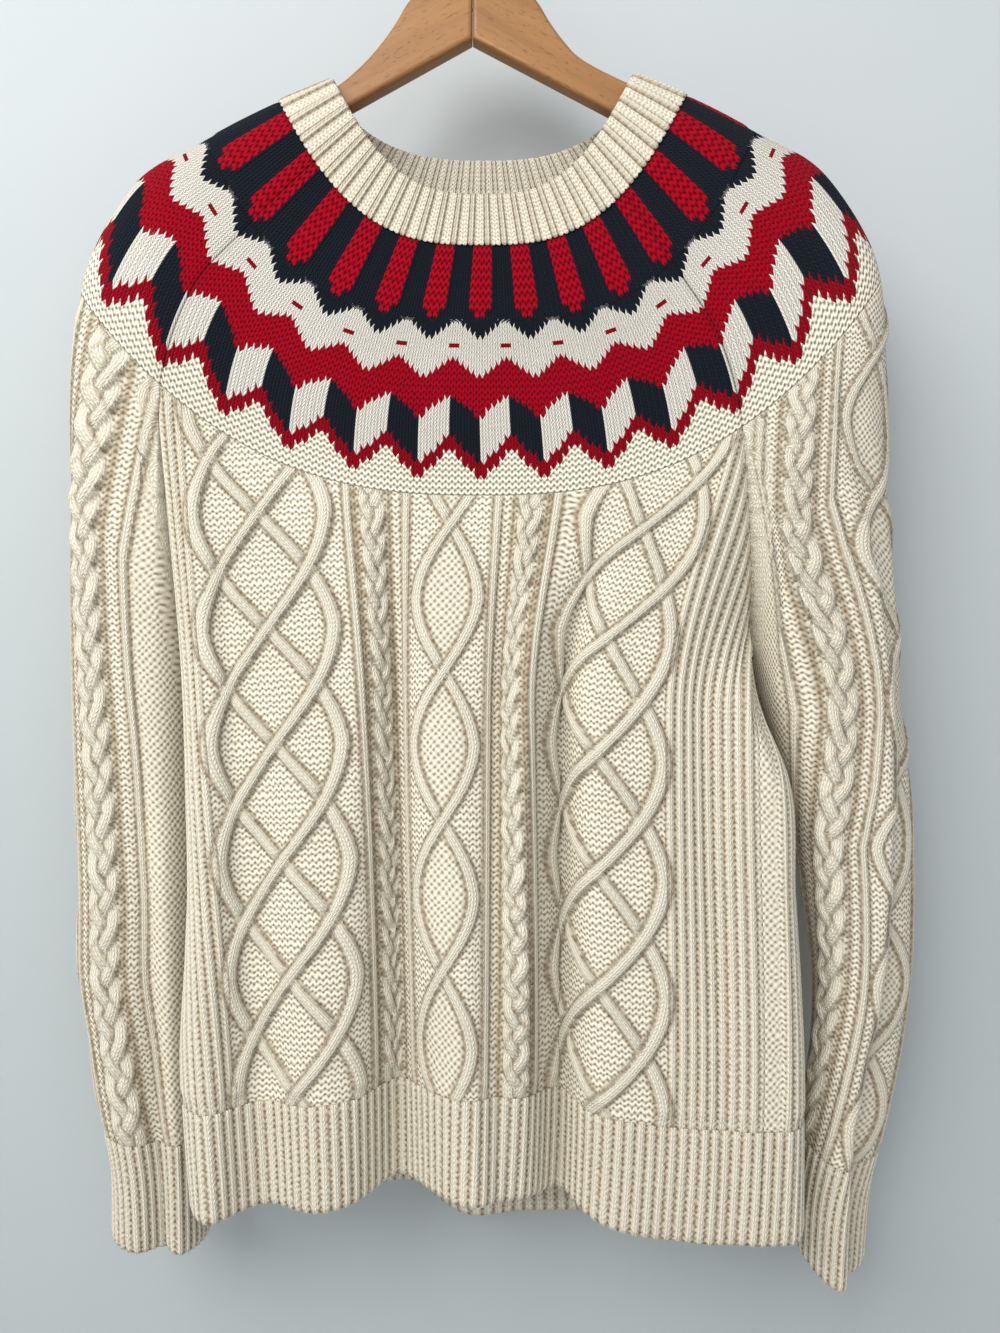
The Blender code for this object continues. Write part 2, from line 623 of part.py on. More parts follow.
def wall_mesh(name, outer, inner, raised, step_rows, closed):
    """A closed wall: every point of the outer grid, and every few of the inner one."""
    rows, columns = outer.shape[:2]
    step_columns = INNER_COLUMN_STEP
    pick_rows = list(range(0, rows, step_rows))
    pick_columns = list(range(0, columns, step_columns))
    coarse = inner[np.ix_(pick_rows, pick_columns)]
    points = np.concatenate([outer.reshape(-1, 3), coarse.reshape(-1, 3)])
    first_inner = rows * columns
    inner_columns = len(pick_columns)
    faces = []

    def out(i, j):
        return i * columns + j % columns

    def inn(i, j):
        return first_inner + i * inner_columns + j % inner_columns

    spans = columns if closed else columns - 1
    inner_spans = inner_columns if closed else inner_columns - 1
    for i in range(rows - 1):
        for j in range(spans):
            a, b, c, d = out(i, j), out(i, j + 1), out(i + 1, j + 1), out(i + 1, j)
            after = (j + 1) % columns
            if raised[i, j] + raised[i + 1, after] >= raised[i, after] + raised[i + 1, j]:
                faces += [(a, b, c), (a, c, d)]
            else:
                faces += [(a, b, d), (b, c, d)]
    for i in range(len(pick_rows) - 1):
        for j in range(inner_spans):
            faces.append((inn(i, j), inn(i + 1, j), inn(i + 1, j + 1), inn(i, j + 1)))

    def rim(outer_run, inner_a, inner_b):
        half = len(outer_run) // 2
        for k in range(len(outer_run) - 1):
            faces.append((outer_run[k], outer_run[k + 1], inner_a if k < half else inner_b))
        faces.append((inner_a, outer_run[half], inner_b))

    for j in range(inner_spans):
        top = [out(0, j * step_columns + k) for k in range(step_columns + 1)]
        rim(top, inn(0, j), inn(0, j + 1))
        low = [out(rows - 1, j * step_columns + k) for k in range(step_columns + 1)]
        rim(low, inn(len(pick_rows) - 1, j), inn(len(pick_rows) - 1, j + 1))
    if not closed:
        for i in range(len(pick_rows) - 1):
            for j, inner_j in ((0, 0), (columns - 1, inner_columns - 1)):
                side = [out(i * step_rows + k, j) for k in range(step_rows + 1)]
                rim(side, inn(i, inner_j), inn(i + 1, inner_j))
    mesh = bpy.data.meshes.new(name)
    mesh.from_pydata([tuple(p) for p in points], [], faces)
    shell = bmesh.new()
    shell.from_mesh(mesh)
    face_outward(shell)
    shell.to_mesh(mesh)
    shell.free()
    mesh.shade_smooth()
    return mesh


def material(name, colour, roughness, metallic=0.0):
    made = bpy.data.materials.new(name)
    made.use_nodes = True
    shader = made.node_tree.nodes["Principled BSDF"]
    shader.inputs["Base Color"].default_value = (*colour, 1.0)
    shader.inputs["Roughness"].default_value = roughness
    shader.inputs["Metallic"].default_value = metallic
    return made


def add(mesh, name, finish, collection):
    thing = bpy.data.objects.new(name, mesh)
    collection.objects.link(thing)
    thing.data.materials.clear()
    thing.data.materials.append(finish)
    return thing


def build_body(collection):
    ring_columns = BODY_MOTIFS * COLUMNS_PER_MOTIF
    panel_columns = ring_columns + 2 * RAGLAN_COLUMNS
    edge = BODY_MOTIFS / 2 * MOTIF
    panel = np.concatenate(
        [
            np.linspace(-BODY_HALF, -edge, RAGLAN_COLUMNS + 1)[:-1],
            np.linspace(-edge, edge, ring_columns + 1)[:-1],
            np.linspace(edge, BODY_HALF, RAGLAN_COLUMNS + 1)[:-1],
        ]
    )
    across = np.concatenate([panel, panel + 2 * BODY_HALF])
    grid, normals, height = body_grid(across, BODY_ROWS)
    last = BODY_ROWS.blend + BODY_ROWS.tube
    for name, first in (("front", 0), ("back", panel_columns)):
        columns = np.arange(first, first + panel_columns + 1) % len(across)
        part, part_normals = grid[: last + 1][:, columns], normals[: last + 1][:, columns]
        place = np.broadcast_to(np.append(panel, BODY_HALF), part.shape[:2])
        raised = body_relief(place, height[: last + 1][:, columns])
        raised *= np.clip((height[0] - height)[: last + 1][:, columns] / RELIEF_STARTS, 0, 1)
        raised[-1] = 0.0
        raised[:, [0, -1]] = 0.0
        part = set_back(part, part_normals, top_sense=1.0, left=True, right=True, bottom=True)
        outer = part + part_normals * raised[..., None]
        inner = part - part_normals * WALL
        mesh = wall_mesh(name, outer, inner, raised, INNER_ROW_STEP, False)
        add(mesh, name, material(name + "_knit", CREAM, KNIT_ROUGHNESS), collection)


def build_hems(collection):
    columns_each = PER_RIB * HEM_RIBS_EACH_PANEL
    panel = np.linspace(-BODY_HALF, BODY_HALF, columns_each + 1)[:-1]
    across = np.concatenate([panel, panel + 2 * BODY_HALF])
    grid, normals, _ = body_grid(across, HEM_ROWS)
    first_row = HEM_ROWS.blend + HEM_ROWS.tube
    for name, first in (("hem_front", 0), ("hem_back", columns_each)):
        columns = np.arange(first, first + columns_each + 1) % len(across)
        part, part_normals = grid[first_row:][:, columns], normals[first_row:][:, columns]
        part = set_back(part, part_normals, left=True, right=True, top=True)
        build_ribbed(name, part, part_normals, False, collection)


def build_ribbed(name, part, part_normals, closed, collection):
    """A ribbed edge, with a rib on every other column."""
    comb = np.where(np.arange(part.shape[1]) % PER_RIB == 1, RIB_HEIGHT, 0.0)
    raised = np.broadcast_to(comb, part.shape[:2])
    outer = part + part_normals * raised[..., None]
    inner = part - part_normals * WALL
    mesh = wall_mesh(name, outer, inner, raised, 1, closed)
    add(mesh, name, material(name + "_rib", CREAM, KNIT_ROUGHNESS), collection)


def build_sleeves(collection):
    ring_columns = SLEEVE_MOTIFS * COLUMNS_PER_MOTIF
    shares = np.concatenate(
        [
            np.linspace(0, SLEEVE_CORNER, RAGLAN_COLUMNS + 1)[:-1],
            np.linspace(SLEEVE_CORNER, 1 - SLEEVE_CORNER, ring_columns + 1)[:-1],
            np.linspace(1 - SLEEVE_CORNER, 1, RAGLAN_COLUMNS + 1)[:-1],
        ]
    )
    last = SLEEVE_ROWS.blend + SLEEVE_ROWS.tube
    for side in ("left", "right"):
        grid, normals, height, across = sleeve_grid(side, shares, SLEEVE_ROWS)
        part, part_normals = grid[: last + 1], normals[: last + 1]
        raised = sleeve_relief(across[: last + 1], height[: last + 1])
        raised *= np.clip((height[0] - height)[: last + 1] / RELIEF_STARTS, 0, 1)
        raised[-1] = 0.0
        sense = 1.0 if side == "right" else -1.0
        part = set_back(part, part_normals, top_sense=sense, bottom=True)
        outer = part + part_normals * raised[..., None]
        inner = part - part_normals * WALL
        name = "sleeve_" + side
        mesh = wall_mesh(name, outer, inner, raised, INNER_ROW_STEP, True)
        add(mesh, name, material(name + "_knit", CREAM, KNIT_ROUGHNESS), collection)
        build_cuff(side, collection)


def build_cuff(side, collection):
    shares = np.linspace(0, 1, PER_RIB * CUFF_RIBS + 1)[:-1]
    grid, normals, _, _ = sleeve_grid(side, shares, CUFF_ROWS)
    first_row = CUFF_ROWS.blend + CUFF_ROWS.tube
    part, part_normals = grid[first_row:], normals[first_row:]
    part = set_back(part, part_normals, top=True)
    build_ribbed("cuff_" + side, part, part_normals, True, collection)


def build_yoke(collection):
    motifs = np.arange(0, MOTIFS * COLUMNS_PER_MOTIF) / COLUMNS_PER_MOTIF - BODY_MOTIFS / 2 + FRONT_MIDDLE
    grid = np.array([ring(motifs, down) for down in YOKE_ROWS])
    normals = normals_of(grid, 1.0)
    normals[-1] = ring_normals(motifs)
    start = 0
    for name, width in (
        ("yoke_front", BODY_MOTIFS),
        ("yoke_right", SLEEVE_MOTIFS),
        ("yoke_back", BODY_MOTIFS),
        ("yoke_left", SLEEVE_MOTIFS),
    ):
        columns = np.arange(start, start + width * COLUMNS_PER_MOTIF + 1) % len(motifs)
        part, part_normals = grid[:, columns], normals[:, columns]
        part = set_back(part, part_normals, left=True, right=True, top=True, bottom=True)
        inner = part - part_normals * WALL
        mesh = wall_mesh(name, part, inner, np.zeros(part.shape[:2]), 1, False)
        add(mesh, name, material(name + "_knit", PATTERN_RED, KNIT_ROUGHNESS), collection)
        start += width * COLUMNS_PER_MOTIF


def build_neckband(collection):
    count = BAND_RIBS * PER_RIB
    motifs = np.arange(0, count) / count * MOTIFS
    downs = np.linspace(BAND_DOWN, 0, BAND_ROWS)
    grid = np.array([ring(motifs, down) for down in downs])
    normals = normals_of(grid, 1.0)
    normals[-1] = normals_of(np.array([ring(motifs, d) for d in (-ROW_STEP, 0, ROW_STEP)]), 1.0)[1]
    part = set_back(grid, normals, bottom=True)
    comb = np.where(np.arange(count) % PER_RIB == 0, CORD_HEIGHT, 0.0)
    raised = np.broadcast_to(comb + BAND_STANDS, part.shape[:2])
    outer = part + normals * raised[..., None]
    inner = part - normals * (BAND_WALL - BAND_STANDS)
    mesh = wall_mesh("neckband", outer, inner, raised, 1, True)
    add(mesh, "neckband", material("neckband_knit", CREAM, KNIT_ROUGHNESS), collection)


def under_ridge(side):
    """An arm's top edge below the cloth's ridge, with distances from the hanger's middle."""
    places = np.array([row.half_width + side * row.middle for row in RINGS])
    heights = np.array([row.ridge_z + side * TILT * row.half_width for row in RINGS])
    slopes = np.gradient(heights, places)
    lengths = np.hypot(1, slopes)
    edge = zip(places + RIDGE_CLEAR * slopes / lengths, heights - RIDGE_CLEAR / lengths)
    return list(edge)[:COVERED_RINGS]


def tilted(side, places):
    return [(place.out, place.z + side * TILT * place.out) for place in places]


def arm_outline(side):
    """Outline of an arm, from the top of the joint outward, with distances from the middle."""
    return tilted(side, ARM_SHOULDER) + under_ridge(side) + tilted(side, ARM_UNDER)


def hook_cutter(cutters):
    """The hole that the hook's shank goes into."""
    bore = bpy.data.meshes.new("hook_bore")
    drill = bmesh.new()
    bmesh.ops.create_cone(
        drill,
        cap_ends=True,
        segments=BORE_SEGMENTS,
        radius1=HOOK_RADIUS + SEAM,
        radius2=HOOK_RADIUS + SEAM,
        depth=2 * HOOK_SINK,
    )
    drill.to_mesh(bore)
    drill.free()
    cutter = bpy.data.objects.new("hook_bore", bore)
    cutter.location = (0, 0, ARM_TOP_Z)
    cutter.hide_render = True
    cutter.display_type = "WIRE"
    cutters.objects.link(cutter)
    return cutter


def build_arm(name, side, cutter, collection):
    curve = bpy.data.curves.new(name, "CURVE")
    curve.dimensions = "2D"
    curve.fill_mode = "BOTH"
    curve.extrude = ARM_THICK / 2 - ARM_EDGE
    curve.bevel_depth = ARM_EDGE
    curve.bevel_resolution = 1
    curve.offset = -ARM_EDGE
    points = arm_outline(side)
    spline = curve.splines.new("POLY")
    spline.points.add(len(points) - 1)
    for point, (x, z) in zip(spline.points, points):
        point.co = (side * x, z, 0, 1)
    spline.use_cyclic_u = True
    flat = bpy.data.objects.new(name + "_outline", curve)
    collection.objects.link(flat)
    flat.rotation_euler = (math.pi / 2, 0, 0)
    bpy.context.view_layer.update()
    graph = bpy.context.evaluated_depsgraph_get()
    mesh = bpy.data.meshes.new_from_object(flat.evaluated_get(graph))
    mesh.transform(flat.matrix_world)
    bpy.data.objects.remove(flat)
    solid = bmesh.new()
    solid.from_mesh(mesh)
    bmesh.ops.remove_doubles(solid, verts=solid.verts, dist=SEAM / 30)
    face_outward(solid)
    solid.to_mesh(mesh)
    solid.free()
    finish = material(name.replace("hanger_", "") + "_beech", BEECH, WOOD_ROUGHNESS)
    arm = add(mesh, name, finish, collection)
    cut = arm.modifiers.new("Hook bore", "BOOLEAN")
    cut.operation = "DIFFERENCE"
    cut.object = cutter


def build_hook(collection):
    """A wire hook whose bend's inside top is the origin."""
    wire = HOOK_BEND + HOOK_RADIUS
    route = list(HOOK_SHANK)
    for degrees in range(*HOOK_TURNS):
        angle = math.radians(degrees)
        route.append((wire * math.cos(angle), wire * math.sin(angle) - HOOK_BEND))
    curve = bpy.data.curves.new("hanger_hook", "CURVE")
    curve.dimensions = "3D"
    curve.bevel_depth = HOOK_RADIUS
    curve.bevel_resolution = 1
    curve.use_fill_caps = True
    spline = curve.splines.new("POLY")
    spline.points.add(len(route) - 1)
    for point, (x, z) in zip(spline.points, route):
        point.co = (x, 0, z, 1)
    hook = bpy.data.objects.new("hanger_hook", curve)
    collection.objects.link(hook)
    curve.materials.append(material("hook_steel", STEEL, STEEL_ROUGHNESS, 1.0))


def main():
    for thing in list(bpy.data.objects):
        bpy.data.objects.remove(thing)
    garment = bpy.data.collections.new("fair_isle_sweater")
    cutters = bpy.data.collections.new("cutters")
    for collection in (garment, cutters):
        bpy.context.scene.collection.children.link(collection)
    build_neckband(garment)
    build_yoke(garment)
    build_body(garment)
    build_hems(garment)
    build_sleeves(garment)
    cutter = hook_cutter(cutters)
    build_arm("hanger_arm_right", 1, cutter, garment)
    build_arm("hanger_arm_left", -1, cutter, garment)
    build_hook(garment)


main()
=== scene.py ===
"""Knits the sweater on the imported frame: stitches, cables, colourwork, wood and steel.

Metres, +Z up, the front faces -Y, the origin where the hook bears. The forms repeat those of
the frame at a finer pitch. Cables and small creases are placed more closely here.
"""
import math
from collections import namedtuple

import bpy
import numpy as np
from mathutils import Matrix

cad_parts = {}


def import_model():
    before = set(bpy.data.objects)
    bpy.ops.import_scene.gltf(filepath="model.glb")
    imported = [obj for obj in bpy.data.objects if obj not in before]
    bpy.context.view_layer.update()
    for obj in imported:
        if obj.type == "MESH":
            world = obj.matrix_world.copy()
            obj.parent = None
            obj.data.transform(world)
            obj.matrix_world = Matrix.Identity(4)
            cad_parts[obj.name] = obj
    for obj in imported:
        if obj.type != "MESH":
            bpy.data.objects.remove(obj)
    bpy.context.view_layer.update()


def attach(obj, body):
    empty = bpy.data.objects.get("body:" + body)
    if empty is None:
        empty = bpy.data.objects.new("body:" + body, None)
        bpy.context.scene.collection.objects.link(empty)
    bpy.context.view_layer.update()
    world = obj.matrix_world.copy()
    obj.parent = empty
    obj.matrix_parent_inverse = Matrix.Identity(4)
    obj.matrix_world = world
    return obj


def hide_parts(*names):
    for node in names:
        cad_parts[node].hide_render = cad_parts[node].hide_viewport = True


# Cloth
WALL = 0.0025
BAND_WALL = 0.0040
CUFF_RIB = 0.066
# Stitches and rows of the reverse side that the cables lie on, of plain strands, and of the yoke
STITCH, ROW = 0.0040, 0.0037
STRAND_STITCH, STRAND_ROW = 0.0030, 0.0030
YOKE_ROW = 0.0024

# Yoke: motifs are counted from the middle one at the front, shoulder ridges at -7 and 7
MOTIFS = 28
RIDGE = 7
MOTIF = 0.0367
CROWD = 0.17
YOKE_DOWN = 0.153
BAND_DOWN = -0.030
TILT = 0.015
RIDGE_BLUNT = 14

# The middle and the width of each panel where it meets the yoke, in motifs
FRONT_MIDDLE = -0.5
BACK_MIDDLE = 13.5
RIGHT_MIDDLE = 6.5
LEFT_MIDDLE = -7.5
BODY_MOTIFS = 9
SLEEVE_MOTIFS = 5
# Which way round a sleeve its columns go
SENSE = {"right": 1, "left": -1}

# Body and sleeves below the yoke
ARMPIT_Z = -0.4625
BLEND = 0.040
BODY_HALF = 0.216
BODY_MIDDLE_X = -0.0158
HEM_LEVEL = 0.360
RIB_START = 0.787
FRONT_HEM_Z = -0.778
LEFT_HEM_Z = -0.792
RIGHT_HEM_Z = -0.806
BACK_HEM_Z = -0.824
SLEEVE_CORNER = 0.18
SLEEVE_LEVEL = 0.385
SLEEVE_TURN = 0.022
# How far the cloth keeps its way off the yoke before it falls
BODY_FULLNESS = 1.0
SLEEVE_FULLNESS = 0.6
CUFF_Z = {"right": (-0.828, -0.852), "left": (-0.832, -0.824)}

Ring = namedtuple("Ring", "down half_width middle ridge_z front_z back_z front_y back_y power")
RINGS = (
    Ring(-0.030, 0.0935, 0.0065, -0.1125, -0.1930, -0.1465, -0.021, 0.033, 2.8),
    Ring(0.000, 0.1240, 0.0065, -0.1250, -0.2227, -0.1765, -0.024, 0.035, 2.9),
    Ring(0.050, 0.1705, 0.0050, -0.1490, -0.2724, -0.2260, -0.030, 0.036, 3.2),
    Ring(0.100, 0.2130, 0.0045, -0.1765, -0.3255, -0.2780, -0.036, 0.038, 3.0),
    Ring(0.144, 0.2425, 0.0055, -0.2310, -0.3670, -0.3200, -0.040, 0.040, 2.6),
    Ring(0.153, 0.2445, 0.0055, -0.2415, -0.3760, -0.3290, -0.041, 0.041, 2.6),
)

Level = namedtuple("Level", "down left right left_y right_y front_y back_y")
BODY_LEVELS = (
    Level(0.000, -0.1700, 0.1640, -0.024, -0.006, -0.043, 0.036),
    Level(0.040, -0.1680, 0.1730, -0.027, -0.008, -0.045, 0.036),
    Level(0.079, -0.1665, 0.1880, -0.029, -0.008, -0.046, 0.036),
    Level(0.155, -0.1647, 0.1925, -0.030, -0.008, -0.047, 0.034),
    Level(0.216, -0.1670, 0.1960, -0.030, -0.008, -0.047, 0.031),
    Level(0.252, -0.1690, 0.1975, -0.030, -0.008, -0.047, 0.029),
    Level(0.295, -0.1680, 0.1980, -0.030, -0.008, -0.047, 0.027),
    Level(0.360, -0.1630, 0.1975, -0.030, -0.010, -0.047, 0.024),
)
RIGHT_LEVELS = (
    Level(0.000, 0.1660, 0.2575, 0.000, 0.006, -0.030, 0.036),
    Level(0.033, 0.1790, 0.2660, 0.002, 0.010, -0.031, 0.038),
    Level(0.079, 0.1925, 0.2730, 0.002, 0.012, -0.031, 0.038),
    Level(0.124, 0.2000, 0.2755, 0.000, 0.013, -0.031, 0.037),
    Level(0.155, 0.2045, 0.2760, -0.002, 0.013, -0.031, 0.036),
    Level(0.216, 0.2125, 0.2730, -0.004, 0.013, -0.030, 0.035),
    Level(0.252, 0.2122, 0.2680, -0.004, 0.013, -0.028, 0.034),
    Level(0.295, 0.2075, 0.2600, -0.002, 0.014, -0.025, 0.034),
    Level(0.338, 0.2025, 0.2505, 0.002, 0.016, -0.023, 0.034),
    Level(0.385, 0.2010, 0.2470, 0.004, 0.018, -0.022, 0.034),
)
LEFT_LEVELS = (
    Level(0.000, -0.2465, -0.1700, 0.002, 0.008, -0.028, 0.036),
    Level(0.033, -0.2450, -0.1695, 0.002, 0.012, -0.028, 0.037),
    Level(0.079, -0.2440, -0.1685, 0.002, 0.015, -0.028, 0.037),
    Level(0.124, -0.2420, -0.1675, 0.002, 0.015, -0.028, 0.037),
    Level(0.155, -0.2415, -0.1670, 0.002, 0.015, -0.028, 0.036),
    Level(0.216, -0.2409, -0.1680, 0.002, 0.014, -0.027, 0.035),
    Level(0.252, -0.2360, -0.1690, 0.002, 0.013, -0.026, 0.034),
    Level(0.295, -0.2300, -0.1690, 0.002, 0.012, -0.025, 0.034),
    Level(0.338, -0.2223, -0.1680, 0.002, 0.010, -0.024, 0.033),
    Level(0.385, -0.2211, -0.1670, 0.002, 0.010, -0.024, 0.033),
)
ROUNDING = {"body": (0.016, 0.040), "right": (0.022, 0.030), "left": (0.026, 0.030)}

# A fold pushes the cloth forward round a line that runs from x_top at the armpit to x_low at the hem
Fold = namedtuple("Fold", "x_top x_low forward_top forward_low reach_top reach_low")
BODY_FOLDS = (
    Fold(-0.150, -0.145, 0.003, 0.010, 0.012, 0.016),
    Fold(-0.128, -0.120, 0.000, -0.012, 0.014, 0.020),
    Fold(-0.095, -0.086, 0.003, 0.007, 0.022, 0.020),
    Fold(-0.050, -0.042, -0.007, -0.026, 0.012, 0.021),
    Fold(-0.012, 0.000, 0.003, 0.014, 0.016, 0.020),
    Fold(0.016, 0.012, -0.004, 0.000, 0.006, 0.008),
    Fold(0.029, 0.026, 0.006, 0.002, 0.009, 0.012),
    Fold(0.050, 0.047, -0.005, -0.024, 0.010, 0.021),
    Fold(0.095, 0.092, 0.004, 0.005, 0.028, 0.026),
    Fold(0.150, 0.150, -0.003, 0.005, 0.016, 0.030),
)
RIGHT_FOLDS = (
    Fold(0.205, 0.215, 0.002, 0.003, 0.014, 0.010),
)
LEFT_FOLDS = (
    Fold(-0.200, -0.188, 0.000, -0.012, 0.009, 0.008),
    Fold(-0.184, -0.175, 0.000, 0.004, 0.008, 0.008),
)
# Smaller creases of the front, which the solids leave out
CREASES = (
    Fold(-0.062, -0.064, 0.004, 0.003, 0.012, 0.012),
    Fold(-0.043, -0.045, -0.008, -0.003, 0.009, 0.009),
    Fold(-0.026, -0.026, 0.002, 0.002, 0.010, 0.010),
    Fold(0.016, 0.014, -0.003, -0.002, 0.006, 0.006),
    Fold(0.033, 0.034, 0.006, 0.008, 0.008, 0.009),
    Fold(0.053, 0.054, -0.010, -0.007, 0.006, 0.007),
    Fold(0.070, 0.070, 0.002, 0.002, 0.014, 0.014),
    Fold(-0.140, -0.135, -0.003, -0.002, 0.007, 0.007),
    Fold(0.132, 0.150, -0.003, -0.003, 0.010, 0.012),
)
BACK_FOLLOW = {"body": 0.75, "right": 0.0, "left": 0.0}
BACK_FOLD_REACH = 0.011
# The right sleeve is folded lengthwise: past this line its front steps back
Step = namedtuple("Step", "down x drop reach")
RIGHT_STEP = (
    Step(0.000, 0.2500, 0.004, 0.014),
    Step(0.040, 0.2520, 0.012, 0.010),
    Step(0.079, 0.2528, 0.018, 0.007),
    Step(0.124, 0.2522, 0.020, 0.006),
    Step(0.155, 0.2498, 0.021, 0.006),
    Step(0.216, 0.2438, 0.021, 0.006),
    Step(0.252, 0.2366, 0.021, 0.006),
    Step(0.295, 0.2302, 0.021, 0.006),
    Step(0.385, 0.2262, 0.020, 0.006),
)

RIGHT_ARMPIT = (0.1700, -0.002, ARMPIT_Z)
LEFT_ARMPIT = (-0.1650, 0.008, ARMPIT_Z)
RAGLANS = {
    "right_front": (4.0, (0.1690, -0.028, -0.422), RIGHT_ARMPIT),
    "right_back": (9.0, (0.1740, 0.034, -0.400), RIGHT_ARMPIT),
    "left_front": (-5.0, (-0.1770, -0.022, -0.425), LEFT_ARMPIT),
    "left_back": (-10.0, (-0.1620, 0.038, -0.400), LEFT_ARMPIT),
}

# Cables, by distance across the cloth from a panel's middle
Cable = namedtuple("Cable", "middle half_width period start height strand")
LATTICE = Cable(0.112, 0.039, 0.267, 0.0060, 0.0037, 0.0044)
DIAMOND = Cable(0.0, 0.0180, 0.1710, 0.028, 0.0021, 0.0038)
SLEEVE_DIAMOND = Cable(0.0, 0.0210, 0.1710, 0.028, 0.0021, 0.0040)
BODY_PLAIT = Cable(0.0460, 0.0044, 0.051, 0.0, 0.0044, 0.0037)
SLEEVE_PLAIT = Cable(0.050, 0.0056, 0.066, 0.0, 0.0044, 0.0042)
LATTICE_STRANDS = 4
TURN_EASE = 1.48
# Past its deep fold the right of the front is pulled further out
PULL_FROM, PULL_REACH, PULLED = 0.060, 0.020, 0.0075
BODY_CORDS = (0.0265, 0.0605)
SLEEVE_CORDS = (0.029, 0.073)
# Width of the plain stitches along a raglan seam
SEAM_STITCHES = 0.016
CORD_HEIGHT = 0.0016
CORD_HALF = 0.0028
# Width of a strand's soft edge and of the painted shade in the furrow beside it
STRAND_EDGE, FURROW_WIDTH = 0.0012, 0.0011
# How much of its height a strand loses under another, over how many half widths, and in a plait
DIP, DIP_REACH = 0.75, 1.5
PLAIT_DIP = 0.38
# Half the width of the open ladder of purl stitches on each side of a plait
LADDER = 0.0018
RIB_HEIGHT = 0.0015
# How round a rib is, the share of its height where plain stitches start and how fast they come
RIB_ROUND, RIB_STITCH_FROM, RIB_STITCH_RISE = 0.7, 0.25, 3
# How fast the painted shade in the furrow ends as the rib rises
RIB_FURROW = 2.4
SIDE_RIB_HEIGHT = 0.0021
SIDE_RIBS_FROM, SIDE_RIBS_TO, SIDE_RIB_PITCH = 0.1520, 0.2051, 0.0059
RELIEF_STARTS = 0.016
# The cables sink into the ribs below them
RELIEF_ENDS = 0.009
END_SHARE = 0.3
BAND_RIBS = 60
HEM_RIBS = 70
CUFF_RIBS = 34
CUFF_RIB_PITCH = 0.0062
# A rib's height inside, as a share, and how the last of the rib thins to its edge
INNER_RIB = 0.8
LIP_SHARE, LIP_OUT, LIP_IN = 0.07, 0.0009, 0.0006
# Turns of the cables round a sleeve: how far, from which depth below the yoke, over what depth
Turn = namedtuple("Turn", "by start reach")
SLEEVE_TURNS = {
    "left": (Turn(-0.017, 0.0, 0.12),),
    "right": (Turn(0.026, 0.0, 0.07), Turn(-0.012, 0.10, 0.15)),
}

# Rows of a grid in the blend below the yoke, in the tube and in the rib. A cabled piece shows
# those of the blend and the tube, a ribbed one those of the rib
Rows = namedtuple("Rows", "blend tube rib")
BODY_ROWS = Rows(90, 146, 8)
SLEEVE_ROWS = Rows(120, 160, 8)
RIBBED_ROWS = Rows(4, 24, 18)
COLUMNS_PER_RIB = 8
EASED_ROWS = 6
YOKE_COLUMNS, YOKE_ROWS = 24, 96
BAND_COLUMNS, BAND_SIDE_ROWS, BAND_TOP_ROWS = 16, 12, 5
COLUMNS_PER_MOTIF = 26
SLEEVE_RAGLAN_COLUMNS = 28
# The inside has one column and row for so many of the outside's
INNER_EVERY, SLEEVE_INNER_EVERY = 4, 2
# Bake map: where the outside, the inside and the rims lie, as a start and a length
MAP_MARGIN = 0.005
OUTER_U, INNER_U, FACES_V = (MAP_MARGIN, 0.76), (0.775, 0.22), (0.05, 0.94)
RIM_FROM, RIM_RUN, RIM_SIZE = 0.01, 0.9, 0.004
# Points of the fine lines that the columns are placed on
RING_POINTS, SECTION_POINTS, SPACING_POINTS = 1201, 721, 2001
# Widths between columns across half of a body panel, from its middle to each distance
Spacing = namedtuple("Spacing", "until width")
SPACINGS = (
    Spacing(0.0240, 0.00120),
    Spacing(0.0330, 0.00100),
    Spacing(0.0570, 0.00090),
    Spacing(0.0650, 0.00100),
    Spacing(0.1480, 0.00140),
    Spacing(0.2120, 0.00100),
    Spacing(BODY_HALF, 0.00180),
)

# Neckband: the share of a rib that is its raised stitch. The rest is a panel of two stitches
BAND_CORD = 0.34
BAND_ROW = 0.0026
BAND_STANDS = 0.0009
CHAIN_REACH = 0.0016
# Height of the panel between two raised stitches, as a share of a cord, and the width of the painted
# shade in the furrow beside a cord
BAND_PANEL, BAND_FURROW = 0.10, 0.075
BAND_INSIDE = 0.0006
# The chain at the band's seam: links for each rib, and where it lies
CHAIN_LINKS = 3
CHAIN_DROP, CHAIN_OUT = 0.0004, 0.0013
BAND_LIP = 0.0022

# The yoke's chart: where each band ends, in millimetres down from the neckband, at the column
# of a petal and at the column between two petals
Band = namedtuple("Band", "at_petal at_between")
PETAL_END, PETAL_TAPER = 48.0, 8.0
SCALLOP = Band(60.0, 49.0)
IVORY_END = Band(82.0, 68.0)
RED_END = Band(105.0, 90.0)
RIBBON_END = Band(135.5, 114.0)
ZIGZAG_END = Band(145.0, 124.5)
DASH_DOWN = 63.0
# Stitches in a motif above and below the row where they change
STITCHES_ABOVE, STITCHES_BELOW = 8, 10
STITCHES_CHANGE = 49.0
# Half widths in motifs: a petal at the neckband, what it loses for each millimetre, its tip
PETAL_HALF, PETAL_NARROWS, PETAL_TIP = 0.305, 0.0012, 0.26
DASH_HALF, DASH_FROM = 1.2, 0.43
SCALLOP_ROUND = 1.3
BAND_GARTER = 0.6
# Height of the petals' garter and of the groove at each seam, whose half width is in motifs, and how
# dark the painted shade in the groove is
PETAL_RAISED, PETAL_FADE = 0.0007, 0.004
GROOVE_DEPTH, GROOVE_HALF, GROOVE_SHADE = 0.0003, 0.0016 / 0.028, 0.25

